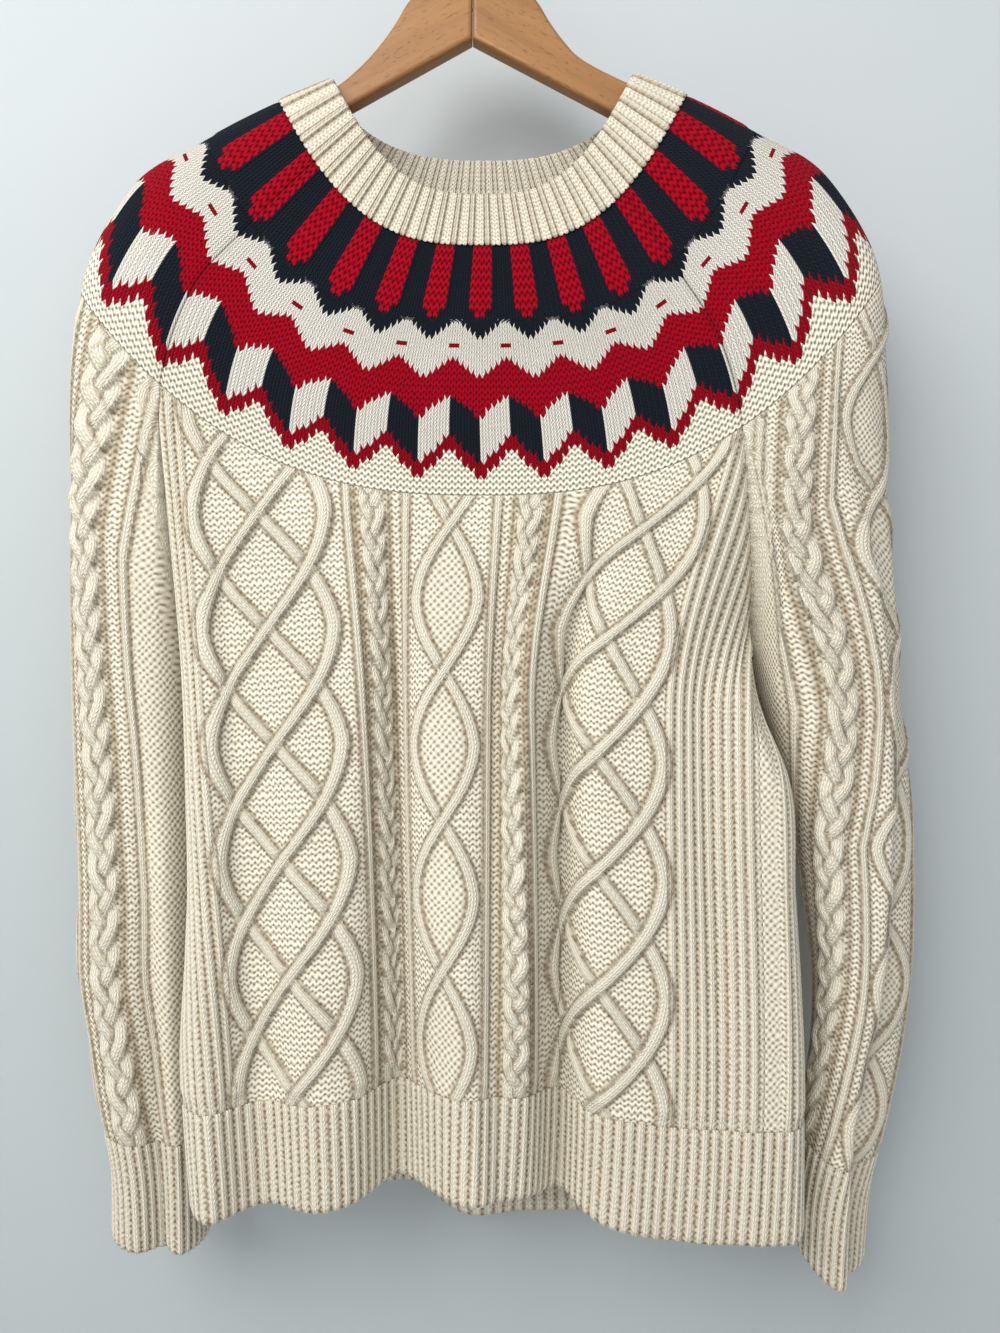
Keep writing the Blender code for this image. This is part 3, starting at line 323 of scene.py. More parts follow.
# Hanger
ARM_THICK = 0.012
ARM_TOP_Z = -0.052
ARM_EDGE = 0.0026
RIDGE_CLEAR = 0.0062
COVERED_RINGS = 4
HOOK_RADIUS = 0.00175
HOOK_BEND = 0.020
HOOK_SINK = 0.016
SEAM = 0.0003

# Colours
# Each yarn has a lit colour and a darker colour for the painted shade in the gaps between its stitches
CREAM = (0.800, 0.750, 0.620)
CREAM_SHADED = (0.210, 0.140, 0.068)
IVORY = (0.850, 0.820, 0.735)
IVORY_SHADED = (0.200, 0.160, 0.110)
RED = (0.330, 0.001, 0.010)
RED_SHADED = (0.030, 0.000, 0.003)
NAVY = (0.010, 0.014, 0.022)
NAVY_SHADED = (0.002, 0.003, 0.006)
BEECH = (0.375, 0.182, 0.060)
BEECH_DEEP = (0.225, 0.095, 0.026)
BEECH_FLECK = (0.110, 0.040, 0.013)
# How light the painted shade in the gaps between plain stitches leaves them, in the yoke and in strands
PLAIN_GAP_SHADE, STRAND_GAP_SHADE = 0.10, 0.60
# How far the stitches wander from even rows, and how close together the wandering is
UNEVEN, UNEVEN_ACROSS, UNEVEN_DOWN = 0.9, 95.0, 140.0
# Ridges of the petals' garter and of the plain purl ground, for each row of the yoke
GARTER_PITCH, GROUND_PITCH = 0.47, 0.65
# Plain stitches: where a leg lies from the middle of its V, how narrow, how low and how round it is
LEG_AT, LEG_NARROW, LEG_LOW, LEG_ROUND = 0.25, 3.7, 0.25, 0.6
# Purl ridges: how far they wave, how open their bends are and how round they are
PURL_WAVE, PURL_OPEN, PURL_ROUND = 0.20, 0.26, 0.55
# Moss beads: how many turns for each stitch and row, and how round they are
MOSS_ACROSS, MOSS_DOWN, MOSS_ROUND = 0.9, 0.8, 0.5
# Rows that a leg of a plain stitch leans over, per stitch of width, in the yoke and in strands
LEG_LEAN, STRAND_LEAN = 2.5, 1.4
# Yarn fuzz and worn patches: how fine they are, and how much they change the tone
FUZZ_SCALE, FUZZ_TONE, FUZZ_RELIEF = 900.0, 0.40, 0.30
WEAR_SCALE, WEAR_TONE = 14.0, 0.20
# How dark the painted shade in a furrow is, and how much darker it is at every row and at every second
# row
FURROW_SHADE, FURROW_ROW_SHADE, FURROW_SECOND_ROW_SHADE = 0.73, 0.09, 0.13
KNIT_BUMP, YOKE_BUMP = 0.0009, 0.0013

# Camera, wall, floor and lamps
CAMERA_AT = (0.017, -0.62, -0.475)
CAMERA_LENS = 27
WALL_Y = 0.070
# The wall's lit colour high up and its darker colour low down, painted shade for the light's falloff
# towards the floor
WALL_LIT_HIGH = (0.480, 0.510, 0.515)
WALL_SHADED_LOW = (0.385, 0.420, 0.427)
# How fast the painted shade turns the wall from its high colour to its darker low colour, for each
# metre down, and the share where it starts
WALL_SHADE_DROP, WALL_SHADE_FROM = 1.15, 0.10
WALL_HALF, WALL_TOP = 2.6, 1.6
FLOOR = (0.70, 0.70, 0.69)
FLOOR_Z = -1.35
ROOM_TINT, ROOM_LIGHT = (0.90, 0.95, 1.0, 1), 0.42
LAMPS_AIM = (0.0, 0.0, -0.40)
Lamp = namedtuple("Lamp", "name at size power colour")
LAMPS = (
    Lamp("window", (-0.95, -1.40, 0.60), (1.5, 1.3), 42, (1.0, 0.99, 0.97)),
    Lamp("behind", (0.30, 1.70, 0.30), (1.6, 1.6), 12, (1.0, 0.99, 0.97)),
    Lamp("room", (0.20, -1.90, 0.20), (2.4, 1.8), 16, (0.96, 0.98, 1.0)),
)


def cubic(s, start, leaves, end, arrives):
    """A cubic from start to end, as s goes from 0 to 1, with its slopes at both."""
    return (
        (2 * s**3 - 3 * s**2 + 1) * start
        + (s**3 - 2 * s**2 + s) * leaves
        + (3 * s**2 - 2 * s**3) * end
        + (s**3 - s**2) * arrives
    )


def eased(share):
    """The share with a level start and end."""
    return share**2 * (3 - 2 * share)


def rising(values, start, reach):
    """From 0 at start to 1 at the end of the reach."""
    return np.clip((values - start) / reach, 0, 1)


def smooth(rows, at):
    """The rows' values at a place in their first column, eased through each row."""
    table = np.array(rows, float)
    places = table[:, 0]
    slopes = np.gradient(table, places, axis=0)
    i = int(np.clip(np.searchsorted(places, at) - 1, 0, len(places) - 2))
    span = places[i + 1] - places[i]
    s = float(np.clip((at - places[i]) / span, 0, 1))
    value = cubic(s, table[i], span * slopes[i], table[i + 1], span * slopes[i + 1])
    return type(rows[0])(*value)


def unit(vectors):
    return vectors / np.maximum(np.linalg.norm(vectors, axis=-1, keepdims=True), 1e-12)


def run_of(line):
    """Distance along a line of points, from its first."""
    steps = np.linalg.norm(np.diff(line, axis=0), axis=1)
    return np.concatenate([[0.0], np.cumsum(steps)])


def along(line, run, places):
    return np.stack([np.interp(places, run, line[:, k]) for k in range(line.shape[1])], axis=1)


def ring(motif, down):
    """A level round of the neckband or yoke, at places counted in motifs."""
    shape = smooth(RINGS, down)
    motif = (np.asarray(motif, float) + RIDGE) % MOTIFS - RIDGE
    behind = motif > RIDGE
    share = np.where(behind, 2 * RIDGE - motif, motif) / RIDGE
    share = (1 - CROWD) * share + CROWD * share**3
    across = np.sin(np.linspace(-math.pi / 2, math.pi / 2, RING_POINTS))
    points = np.empty((len(motif), 3))
    halves = ((~behind, shape.front_z, shape.front_y), (behind, shape.back_z, shape.back_y))
    for chosen, middle_z, middle_y in halves:
        rise = shape.ridge_z + TILT * shape.half_width * across - middle_z
        line = np.stack(
            [
                shape.middle + shape.half_width * across,
                middle_y * np.sqrt(np.clip(1 - np.abs(across) ** RIDGE_BLUNT, 0, 1)),
                middle_z + rise * np.abs(across) ** shape.power,
            ],
            axis=1,
        )
        run = run_of(line)
        run = 2 * run / run[-1] - 1
        points[chosen] = along(line, run, share[chosen])
    return points


def fold_push(folds, x, down):
    """How far the folds push the cloth forward."""
    share = down / HEM_LEVEL
    push = np.zeros_like(x)
    for fold in folds:
        middle = fold.x_top + (fold.x_low - fold.x_top) * share
        forward = fold.forward_top + (fold.forward_low - fold.forward_top) * share
        reach = fold.reach_top + (fold.reach_low - fold.reach_top) * share
        push += forward * np.exp(-(((x - middle) / reach) ** 2))
    return push


def outline(name, down):
    """A level section of a hanging tube: its front and its back, both from left to right."""
    levels = {"body": BODY_LEVELS, "right": RIGHT_LEVELS, "left": LEFT_LEVELS}[name]
    folds = {"body": BODY_FOLDS, "right": RIGHT_FOLDS, "left": LEFT_FOLDS}[name]
    level = smooth(levels, down)
    share = (1 - np.cos(np.linspace(0, math.pi, SECTION_POINTS))) / 2
    x = level.left + (level.right - level.left) * share
    push = fold_push(folds, x, down)
    broad = [fold for fold in folds if fold.reach_top > BACK_FOLD_REACH]
    push_back = BACK_FOLLOW[name] * fold_push(broad, x, down)
    if name == "right":
        step = smooth(RIGHT_STEP, down)
        push_front = push - step.drop / (1 + np.exp(-(x - step.x) / step.reach * 4))
    elif name == "body":
        push_front = push + fold_push(CREASES, x, down)
    else:
        push_front = push
    sides = []
    for middle_y, reach, pushed in (
        (level.front_y, ROUNDING[name][0], push_front),
        (level.back_y, ROUNDING[name][1], push_back),
    ):
        left = np.sqrt(1 - (1 - np.clip((x - level.left) / reach, 0, 1)) ** 2)
        right = np.sqrt(1 - (1 - np.clip((level.right - x) / reach, 0, 1)) ** 2)
        y = middle_y + (level.left_y - middle_y) * (1 - left) + (level.right_y - middle_y) * (1 - right)
        sides.append(np.stack([x, y - pushed * left * right], axis=1))
    return sides


def body_section(across, down):
    """Points of the body's tube at distances across the cloth from the front's middle."""
    front, back = outline("body", down)
    loop = np.concatenate([front, back[-2:0:-1], front[:1]])
    run = run_of(loop)
    turn = run[len(front) - 1]
    middle = np.interp(BODY_MIDDLE_X, front[:, 0], run[: len(front)])
    first, last = -middle, turn - middle
    whole = 4 * BODY_HALF
    behind = run[-1] - turn
    cloth = np.where(run <= turn, run - middle, last + (run - turn) * (first + whole - last) / behind)
    wanted = first + (np.asarray(across, float) - first) % whole
    return along(loop, cloth, wanted)


def sleeve_section(name, share, down):
    """Points of a sleeve's tube, by the share of the way round from the underarm by the front."""
    front, back = outline(name, down)
    if name == "right":
        loop = np.concatenate([front, back[::-1]])
        turn = SLEEVE_TURN * min(max(down - BLEND, 0) / 0.08, 1)
    else:
        loop = np.concatenate([front[::-1], back])
        turn = 0.0
    run = run_of(loop)
    places = (np.asarray(share, float) * run[-1] - turn) % run[-1]
    return along(loop, run, places)


def raglan(name, share):
    """The seam from a corner of the yoke down to the armpit."""
    corner_motif, bend, armpit = RAGLANS[name]
    corner = ring([corner_motif], YOKE_DOWN)[0]
    bend, armpit = np.array(bend), np.array(armpit)
    return (1 - share) ** 2 * corner + 2 * share * (1 - share) * bend + share**2 * armpit


def ring_normals(motif):
    """Outward normals of the cloth at the yoke's lower edge."""
    step = 0.02
    down = ring(motif, YOKE_DOWN) - ring(motif, YOKE_DOWN - 0.004)
    round_it = ring(np.asarray(motif) + step, YOKE_DOWN) - ring(np.asarray(motif) - step, YOKE_DOWN)
    return unit(np.cross(round_it, -down))


def top_edge(motifs, seams):
    """Where a panel's columns start, their normals, and how far down a raglan seam each is.

    motifs is nan on a seam, which seams gives as its name and the share of its length.
    """
    count = len(motifs)
    points, normals, below = np.zeros((count, 3)), np.zeros((count, 3)), np.zeros((count, 1))
    on_ring = ~np.isnan(motifs)
    points[on_ring] = ring(motifs[on_ring], YOKE_DOWN)
    normals[on_ring] = ring_normals(motifs[on_ring])
    straight_down = np.array([0.0, 0.0, -1.0])
    corner_normals = {}
    for k in np.flatnonzero(~on_ring):
        name, share = seams[k]
        points[k] = raglan(name, share)
        if name not in corner_normals:
            corner_normals[name] = ring_normals(np.array([RAGLANS[name][0]]))[0]
        normals[k] = unit((1 - share**2) * corner_normals[name] + share**2 * straight_down)
        below[k] = share
    return points, normals, below


def hang(top, normals, below, bottom, bottom_falls, rows, fullness):
    """Rows of points that leave a top edge along the cloth and join the tube below it."""
    chord = bottom - top
    reach = np.linalg.norm(chord, axis=1, keepdims=True)
    along_cloth = unit(chord - (chord * normals).sum(axis=1, keepdims=True) * normals)
    falls = unit((1 - below) * along_cloth + below * unit(chord))
    leaves, arrives = fullness * reach * falls, reach * bottom_falls
    return np.array([cubic(s, top, leaves, bottom, arrives) for s in np.linspace(0, 1, rows + 1)])


def normals_of(grid, turn):
    """Outward normals of a grid whose columns go right round."""
    wrapped = np.concatenate([grid[:, -1:], grid, grid[:, :1]], axis=1)
    across = (wrapped[:, 2:] - wrapped[:, :-2]) / 2
    down = np.gradient(grid, axis=0)
    return turn * unit(np.cross(across, -down))


def ease_normals(normals, top_normals, rows):
    """Turns the normals from a seam's own to the cloth's, over a few rows."""
    for i in range(rows):
        share = i / rows
        normals[i] = unit((1 - share) * top_normals + share * normals[i])


def hem_z(across):
    """Height of the hem, which rises at the middle of the front."""
    distance = np.abs((across + 2 * BODY_HALF) % (4 * BODY_HALF) - 2 * BODY_HALF)
    front = np.clip(1 - distance / BODY_HALF, 0, 1)
    back = np.clip(distance / BODY_HALF - 1, 0, 1)
    rightward = 0.5 + 0.5 * np.sin(math.pi / 2 * across / BODY_HALF)
    side_z = LEFT_HEM_Z + (RIGHT_HEM_Z - LEFT_HEM_Z) * rightward
    return side_z + (FRONT_HEM_Z - side_z) * eased(front) + (BACK_HEM_Z - side_z) * eased(back)


def heights_above(grid, row):
    """Distance up the cloth from a row, negative below it."""
    steps = np.linalg.norm(np.diff(grid, axis=0), axis=2)
    run = np.concatenate([np.zeros((1, grid.shape[1])), np.cumsum(steps, axis=0)])
    return run[row] - run


def tube_levels(rib_start, rows):
    """Shares of a tube's length at which its rows lie, closer or wider in its rib."""
    tube = np.linspace(0, rib_start, rows.tube + 1)[1:]
    return np.concatenate([tube, np.linspace(rib_start, 1, rows.rib + 1)[1:]])


def body_grid(across, rows):
    """Points, normals and heights above the hem rib, columns right round from the left side seam."""
    count = len(across)
    edge = BODY_MOTIFS / 2 * MOTIF
    motifs, seams = np.full(count, np.nan), [None] * count
    for k, w in enumerate(across):
        back = w > BODY_HALF
        from_middle = w - 2 * BODY_HALF if back else w
        if abs(from_middle) <= edge + 1e-9:
            motifs[k] = (BACK_MIDDLE if back else FRONT_MIDDLE) + from_middle / MOTIF
        else:
            side = "right" if (from_middle > 0) != back else "left"
            seam = side + ("_back" if back else "_front")
            seams[k] = (seam, (abs(from_middle) - edge) / (BODY_HALF - edge))
    top, top_normals, below = top_edge(motifs, seams)
    blend_z = ARMPIT_Z - BLEND
    low_z = hem_z(across)

    def tube(v):
        flat = body_section(across, BLEND + v * (HEM_LEVEL - BLEND))
        return np.column_stack([flat, blend_z + v * (low_z - blend_z)])

    start = tube(0)
    falls = unit(tube(0.02) - start)
    upper = hang(top, top_normals, below, start, falls, rows.blend, BODY_FULLNESS)
    grid = np.concatenate([upper, np.array([tube(v) for v in tube_levels(RIB_START, rows)])])
    normals = normals_of(grid, 1.0)
    ease_normals(normals, top_normals, EASED_ROWS)
    return grid, normals, heights_above(grid, rows.blend + rows.tube)


def sleeve_grid(name, shares, rows):
    """Points, normals, heights above the cuff and distances from the sleeve's middle line."""
    middle = RIGHT_MIDDLE if name == "right" else LEFT_MIDDLE
    sense = SENSE[name]
    corner = SLEEVE_CORNER
    motifs, seams = np.full(len(shares), np.nan), [None] * len(shares)
    for k, share in enumerate(shares):
        if corner - 1e-9 <= share <= 1 - corner + 1e-9:
            motifs[k] = middle + sense * (share - 0.5) / (0.5 - corner) * SLEEVE_MOTIFS / 2
        elif share < corner:
            seams[k] = (name + "_front", 1 - share / corner)
        else:
            seams[k] = (name + "_back", (share - 1 + corner) / corner)
    top, top_normals, below = top_edge(motifs, seams)
    low_z = CUFF_Z[name][0] + (CUFF_Z[name][1] - CUFF_Z[name][0]) * np.sin(math.pi * shares) ** 2
    blend_z = ARMPIT_Z - BLEND

    def tube(v):
        flat = sleeve_section(name, shares, BLEND + v * (SLEEVE_LEVEL - BLEND))
        return np.column_stack([flat, blend_z + v * (low_z - blend_z)])

    start = tube(0)
    falls = unit(tube(0.02) - start)
    upper = hang(top, top_normals, below, start, falls, rows.blend, SLEEVE_FULLNESS)
    rib_start = 1 - CUFF_RIB / (blend_z - CUFF_Z[name][0])
    grid = np.concatenate([upper, np.array([tube(v) for v in tube_levels(rib_start, rows)])])
    normals = normals_of(grid, float(sense))
    ease_normals(normals, top_normals, EASED_ROWS)
    rounds = np.array([run_of(np.concatenate([row, row[:1]]))[-1] for row in grid])
    rounds[: rows.blend] = rounds[rows.blend]
    across = (np.asarray(shares)[None, :] - 0.5) * rounds[:, None]
    return grid, normals, heights_above(grid, rows.blend + rows.tube), across


class Knit:
    """What the stitches do over a grid: how far they stand out, which stitch is where, and the painted
    shade in their furrows.
    """

    def __init__(self, across, height):
        self.across, self.height = across, height
        self.raised = np.zeros_like(across)
        self.strand = np.zeros_like(across)
        self.along = np.zeros_like(across)
        self.beside = np.zeros_like(across)
        self.moss = np.zeros_like(across)
        self.painted_shade = np.zeros_like(across)

    def lay(self, distance, run, half, height, lift=1.0):
        """A rounded strand of plain knitting on top of what is there."""
        body = np.sqrt(np.clip(1 - (distance / half) ** 2, 0, 1))
        top = height * lift * body
        over = top > self.raised
        self.raised = np.maximum(self.raised, top)
        mask = np.clip((half - np.abs(distance)) / STRAND_EDGE, 0, 1)
        mask = np.where(over, mask, 0.0)
        self.strand = np.maximum(np.where(over, 0.0, self.strand), mask)
        self.beside = np.where(over, distance, self.beside)
        self.along = np.where(over, run, self.along)
        # Painted shade in the furrow along each edge of the strand
        edge = np.exp(-(((np.abs(distance) - half) / FURROW_WIDTH) ** 2))
        self.painted_shade = np.maximum(self.painted_shade * (~over), edge * lift)


def eased_triangle(phase):
    """From -1 at phase 0 to 1 at phase 0.5 and back, with eased turns."""
    wave = 1 - 4 * np.abs((phase % 1) - 0.5)
    return np.sin(wave * TURN_EASE) / math.sin(TURN_EASE)


def lattice(knit, middle, cable, strands):
    """Strands that cross a panel and turn at its edges. Those that rise to the right lie on top."""
    waves = []
    for k in range(strands):
        phase = (knit.height - cable.start) / cable.period + k / strands
        wave = eased_triangle(phase)
        waves.append((knit.across - middle - cable.half_width * wave, (phase % 1) < 0.5))
    lean = math.hypot(1, 4 * cable.half_width / cable.period)
    for on_top in (False, True):
        for k, (distance, upward) in enumerate(waves):
            dip = np.ones_like(distance)
            if not on_top:
                for other, (other_distance, _) in enumerate(waves):
                    if other != k:
                        dip *= 1 - DIP * np.exp(-((other_distance / (DIP_REACH * cable.strand)) ** 2))
            here = np.where(upward == on_top, distance / lean, 1.0)
            knit.lay(here, knit.height * lean, cable.strand, cable.height, dip)


def plait(knit, middle, cable):
    """Three strands plaited together."""
    order = []
    for k in range(3):
        angle = 2 * math.pi * (knit.height / cable.period + k / 3)
        distance = knit.across - middle - cable.half_width * np.sin(angle)
        slope = 2 * math.pi * cable.half_width / cable.period * np.cos(angle)
        lift = 1 - PLAIT_DIP + PLAIT_DIP * np.sin(2 * angle)
        order.append((distance / np.hypot(1, slope), lift))
    for distance, lift in order:
        knit.lay(distance, knit.height, cable.strand, cable.height, lift)
    # Painted shade in the open ladder beside the plait
    gap = np.abs(knit.across - middle) - (cable.half_width + cable.strand)
    knit.painted_shade = np.maximum(knit.painted_shade, np.exp(-(((gap - LADDER) / LADDER) ** 2)))


def thin_cords(knit, places):
    for place in places:
        for side in (-1, 1):
            knit.lay(knit.across - side * place, knit.height, CORD_HALF, CORD_HEIGHT)


def moss_between(knit, low, high):
    """Moss stitch from one distance across the cloth to another, on both sides."""
    place = np.abs(knit.across)
    inside = rising(place, low, STITCH) * rising(-place, -high, STITCH)
    knit.moss = np.maximum(knit.moss, inside)


def moss_in_diamonds(knit, cable):
    """Moss stitch between the strands of the diamonds, on the way up from each crossing."""
    phase = (knit.height - cable.start) / cable.period
    reach = cable.half_width * np.abs(eased_triangle(phase))
    knit.moss = np.maximum(knit.moss, np.clip((reach - np.abs(knit.across)) / STITCH, 0, 1))


def plain_seam(knit, grid, seam):
    """A few plain stitches along a seam, given by its points."""
    gaps = grid[:, :, None, :] - seam[None, None, ::3, :]
    distance = np.sqrt(np.min(np.sum(gaps**2, axis=3), axis=2))
    near = np.clip((SEAM_STITCHES - distance) / STITCH, 0, 1)
    knit.strand = np.maximum(knit.strand, near)
    knit.beside = np.where(near > 0, distance, knit.beside)
    knit.along = np.where(near > 0, knit.height, knit.along)


def ribs(knit, places, pitch, inside, height=RIB_HEIGHT):
    """Ribs one stitch wide, with a row of plain stitches on each."""
    phase = places / pitch
    crest = 0.5 - 0.5 * np.cos(2 * math.pi * phase)
    knit.raised = np.where(inside, np.maximum(knit.raised, height * crest**RIB_ROUND), knit.raised)
    on_rib = np.clip((crest - RIB_STITCH_FROM) * RIB_STITCH_RISE, 0, 1)
    knit.strand = np.where(inside, on_rib, knit.strand)
    knit.beside = np.where(inside, ((phase % 1) - 0.5) * pitch, knit.beside)
    knit.along = np.where(inside, knit.height, knit.along)
    # Painted shade in the furrow between ribs
    furrow = np.clip(1 - crest * RIB_FURROW, 0, 1)
    knit.painted_shade = np.where(inside, np.maximum(knit.painted_shade, furrow), knit.painted_shade)


def body_knit(across, height):
    across = across - PULLED * eased(rising(across, PULL_FROM, PULL_REACH))
    knit = Knit(across, height)
    moss_in_diamonds(knit, DIAMOND)
    moss_between(knit, SIDE_RIBS_TO, BODY_HALF + STITCH)
    lattice(knit, 0.0, DIAMOND, 2)
    for side in (-1, 1):
        lattice(knit, side * LATTICE.middle, LATTICE, LATTICE_STRANDS)
        plait(knit, side * BODY_PLAIT.middle, BODY_PLAIT)
    thin_cords(knit, BODY_CORDS)
    inside = (np.abs(across) > SIDE_RIBS_FROM) & (np.abs(across) < SIDE_RIBS_TO)
    ribs(knit, np.abs(across) - SIDE_RIBS_FROM, SIDE_RIB_PITCH, inside, SIDE_RIB_HEIGHT)
    return knit


def sleeve_knit(across, height):
    knit = Knit(across, height)
    moss_in_diamonds(knit, SLEEVE_DIAMOND)
    moss_between(knit, SLEEVE_CORDS[1] + CORD_HALF, 1.0)
    lattice(knit, 0.0, SLEEVE_DIAMOND, 2)
    for side in (-1, 1):
        plait(knit, side * SLEEVE_PLAIT.middle, SLEEVE_PLAIT)
    thin_cords(knit, SLEEVE_CORDS)
    return knit


def cloth_mesh(name, points, faces, u, v, fields):
    """A mesh with its bake map and the fields that its stitches are drawn from."""
    mesh = bpy.data.meshes.new(name)
    mesh.from_pydata(points.tolist(), [], faces)
    bake = mesh.uv_layers.new(name="OFBake")
    bake.data.foreach_set("uv", np.stack([u, v], axis=-1).reshape(-1))
    for key, values in fields.items():
        layer = mesh.attributes.new(key, "FLOAT", "POINT")
        layer.data.foreach_set("value", values.reshape(-1).astype(np.float32))
    mesh.shade_smooth()
    return mesh


def wall_mesh(name, outer, inner, every, closed, sense, fields):
    """A closed wall. Its inside has fewer columns and rows, and a rim joins it to the outside."""
    rows, columns = outer.shape[:2]
    pick_rows = list(range(0, rows, every))
    pick_columns = list(range(0, columns, every))
    coarse = inner[np.ix_(pick_rows, pick_columns)]
    points = np.concatenate([outer.reshape(-1, 3), coarse.reshape(-1, 3)])
    inner_rows, inner_columns = len(pick_rows), len(pick_columns)
    first_inner = rows * columns
    spans = columns if closed else columns - 1
    inner_spans = inner_columns if closed else inner_columns - 1

    def quads(first, row_count, column_count, span_count, face_in):
        i, j = np.meshgrid(np.arange(row_count - 1), np.arange(span_count), indexing="ij")
        after = (j + 1) % column_count
        corners = [
            first + i * column_count + j,
            first + (i + 1) * column_count + j,
            first + (i + 1) * column_count + after,
            first + i * column_count + after,
        ]
        places = [(i, j), (i + 1, j), (i + 1, j + 1), (i, j + 1)]
        if face_in:
            corners, places = corners[::-1], places[::-1]
        faces = np.stack(corners, axis=-1).reshape(-1, 4)
        across = np.stack([p[1] / span_count for p in places], axis=-1).reshape(-1)
        up = np.stack([1 - p[0] / (row_count - 1) for p in places], axis=-1).reshape(-1)
        return faces, across, up

    out_faces, out_u, out_v = quads(0, rows, columns, spans, sense < 0)
    in_faces, in_u, in_v = quads(first_inner, inner_rows, inner_columns, inner_spans, sense > 0)
    rims, rim_u, rim_v = [], [], []

    def rim(fine, a, b, flip, u, v):
        face = fine + [b, a]
        places = [(u + RIM_SIZE * k / len(fine), v) for k in range(len(fine))]
        places += [(u + RIM_SIZE, v - RIM_SIZE), (u, v - RIM_SIZE)]
        if flip:
            face, places = face[::-1], places[::-1]
        rims.append(face)
        rim_u.extend(p[0] for p in places)
        rim_v.extend(p[1] for p in places)

    last = rows - 1
    for j in range(inner_spans):
        place = RIM_FROM + RIM_RUN * j / inner_spans
        top = [(j * every + k) % columns for k in range(every + 1)]
        a, b = first_inner + j, first_inner + (j + 1) % inner_columns
        rim(top, a, b, sense < 0, place, 0.03)
        low = [last * columns + k for k in top]
        shift = (inner_rows - 1) * inner_columns
        rim(low, a + shift, b + shift, sense > 0, place, 0.02)
    if not closed:
        for i in range(inner_rows - 1):
            place = RIM_FROM + RIM_RUN * i / inner_rows
            left_side = (0, 0, sense > 0, 0.04)
            right_side = (columns - 1, inner_columns - 1, sense < 0, 0.01)
            for j, inner_j, flip, v in (left_side, right_side):
                side = [(i * every + k) * columns + j for k in range(every + 1)]
                a = first_inner + i * inner_columns + inner_j
                rim(side, a, a + inner_columns, flip, place, v)
    faces = out_faces.tolist() + in_faces.tolist() + rims
    u = np.concatenate([OUTER_U[0] + OUTER_U[1] * out_u, INNER_U[0] + INNER_U[1] * in_u, rim_u])
    v = np.concatenate([FACES_V[0] + FACES_V[1] * out_v, FACES_V[0] + FACES_V[1] * in_v, rim_v])
    both = {}
    for key, values in fields.items():
        inside = values[np.ix_(pick_rows, pick_columns)]
        both[key] = np.concatenate([values.reshape(-1), inside.reshape(-1)])
    return cloth_mesh(name, points, faces, u, v, both)


def tube_mesh(name, grid, sense, fields):
    """A mesh closed both ways, such as a doubled band. Columns go round it, rows over its edge."""
    rows, columns = grid.shape[:2]
    i, j = np.meshgrid(np.arange(rows), np.arange(columns), indexing="ij")
    corners = [(i, j), (i + 1, j), (i + 1, j + 1), (i, j + 1)]
    if sense < 0:
        corners = corners[::-1]
    faces = np.stack([(a % rows) * columns + b % columns for a, b in corners], axis=-1).reshape(-1, 4)
    u = np.stack([b / columns for _, b in corners], axis=-1).reshape(-1)
    v = np.stack([a / rows for a, _ in corners], axis=-1).reshape(-1)
    margin, whole = MAP_MARGIN, 1 - 2 * MAP_MARGIN
    points = grid.reshape(-1, 3)
    return cloth_mesh(name, points, faces.tolist(), margin + whole * u, margin + whole * v, fields)


def knit_fields(knit):
    """The fields that the knit shader reads, in stitches and rows."""
    return {
        "s": knit.across / STITCH,
        "t": knit.height / ROW,
        "cs": knit.beside / STRAND_STITCH + 0.5,
        "ct": knit.along / STRAND_ROW,
        "strand": knit.strand,
        "moss": knit.moss,
        "painted_shade": knit.painted_shade,
    }


class Field:
    """A number that varies over a surface, made of math nodes."""

    def __init__(self, tree, socket):
        self.tree, self.socket = tree, socket

    def node(self, operation, *others, clamp=False):
        made = self.tree.nodes.new("ShaderNodeMath")
        made.operation = operation
        made.use_clamp = clamp
        for place, value in enumerate((self, *others)):
            if isinstance(value, Field):
                self.tree.links.new(value.socket, made.inputs[place])
            else:
                made.inputs[place].default_value = value
        return Field(self.tree, made.outputs[0])

    def __add__(self, other):
        return self.node("ADD", other)

    __radd__ = __add__

    def __sub__(self, other):
        return self.node("SUBTRACT", other)

    def __rsub__(self, other):
        return (self * -1.0) + other

    def __mul__(self, other):
        return self.node("MULTIPLY", other)

    __rmul__ = __mul__

    def __truediv__(self, other):
        return self.node("DIVIDE", other)

    def floor(self):
        return self.node("FLOOR")

    def fraction(self):
        return self.node("FRACT")

    def absolute(self):
        return self.node("ABSOLUTE")

    def cosine(self, turns=1.0):
        return (self * (2 * math.pi * turns)).node("COSINE")

    def power(self, exponent):
        return self.node("POWER", exponent)

    def clamped(self):
        return self.node("ADD", 0.0, clamp=True)

    def less(self, other):
        return self.node("LESS_THAN", other)

    def more(self, other):
        return self.node("GREATER_THAN", other)

    def least(self, other):
        return self.node("MINIMUM", other)

    def most(self, other):
        return self.node("MAXIMUM", other)

    def between(self, a, b):
        """a where this is 0, b where it is 1."""
        return self * (b - a) + a


def field(tree, name):
    made = tree.nodes.new("ShaderNodeAttribute")
    made.attribute_name = name
    return Field(tree, made.outputs["Fac"])


def new_material(name):
    """A material with its tree of nodes and its surface shader."""
    made = bpy.data.materials.new(name)
    made.use_nodes = True
    return made, made.node_tree, made.node_tree.nodes["Principled BSDF"]


def set_inputs(node, values):
    for name, value in values.items():
        node.inputs[name].default_value = value


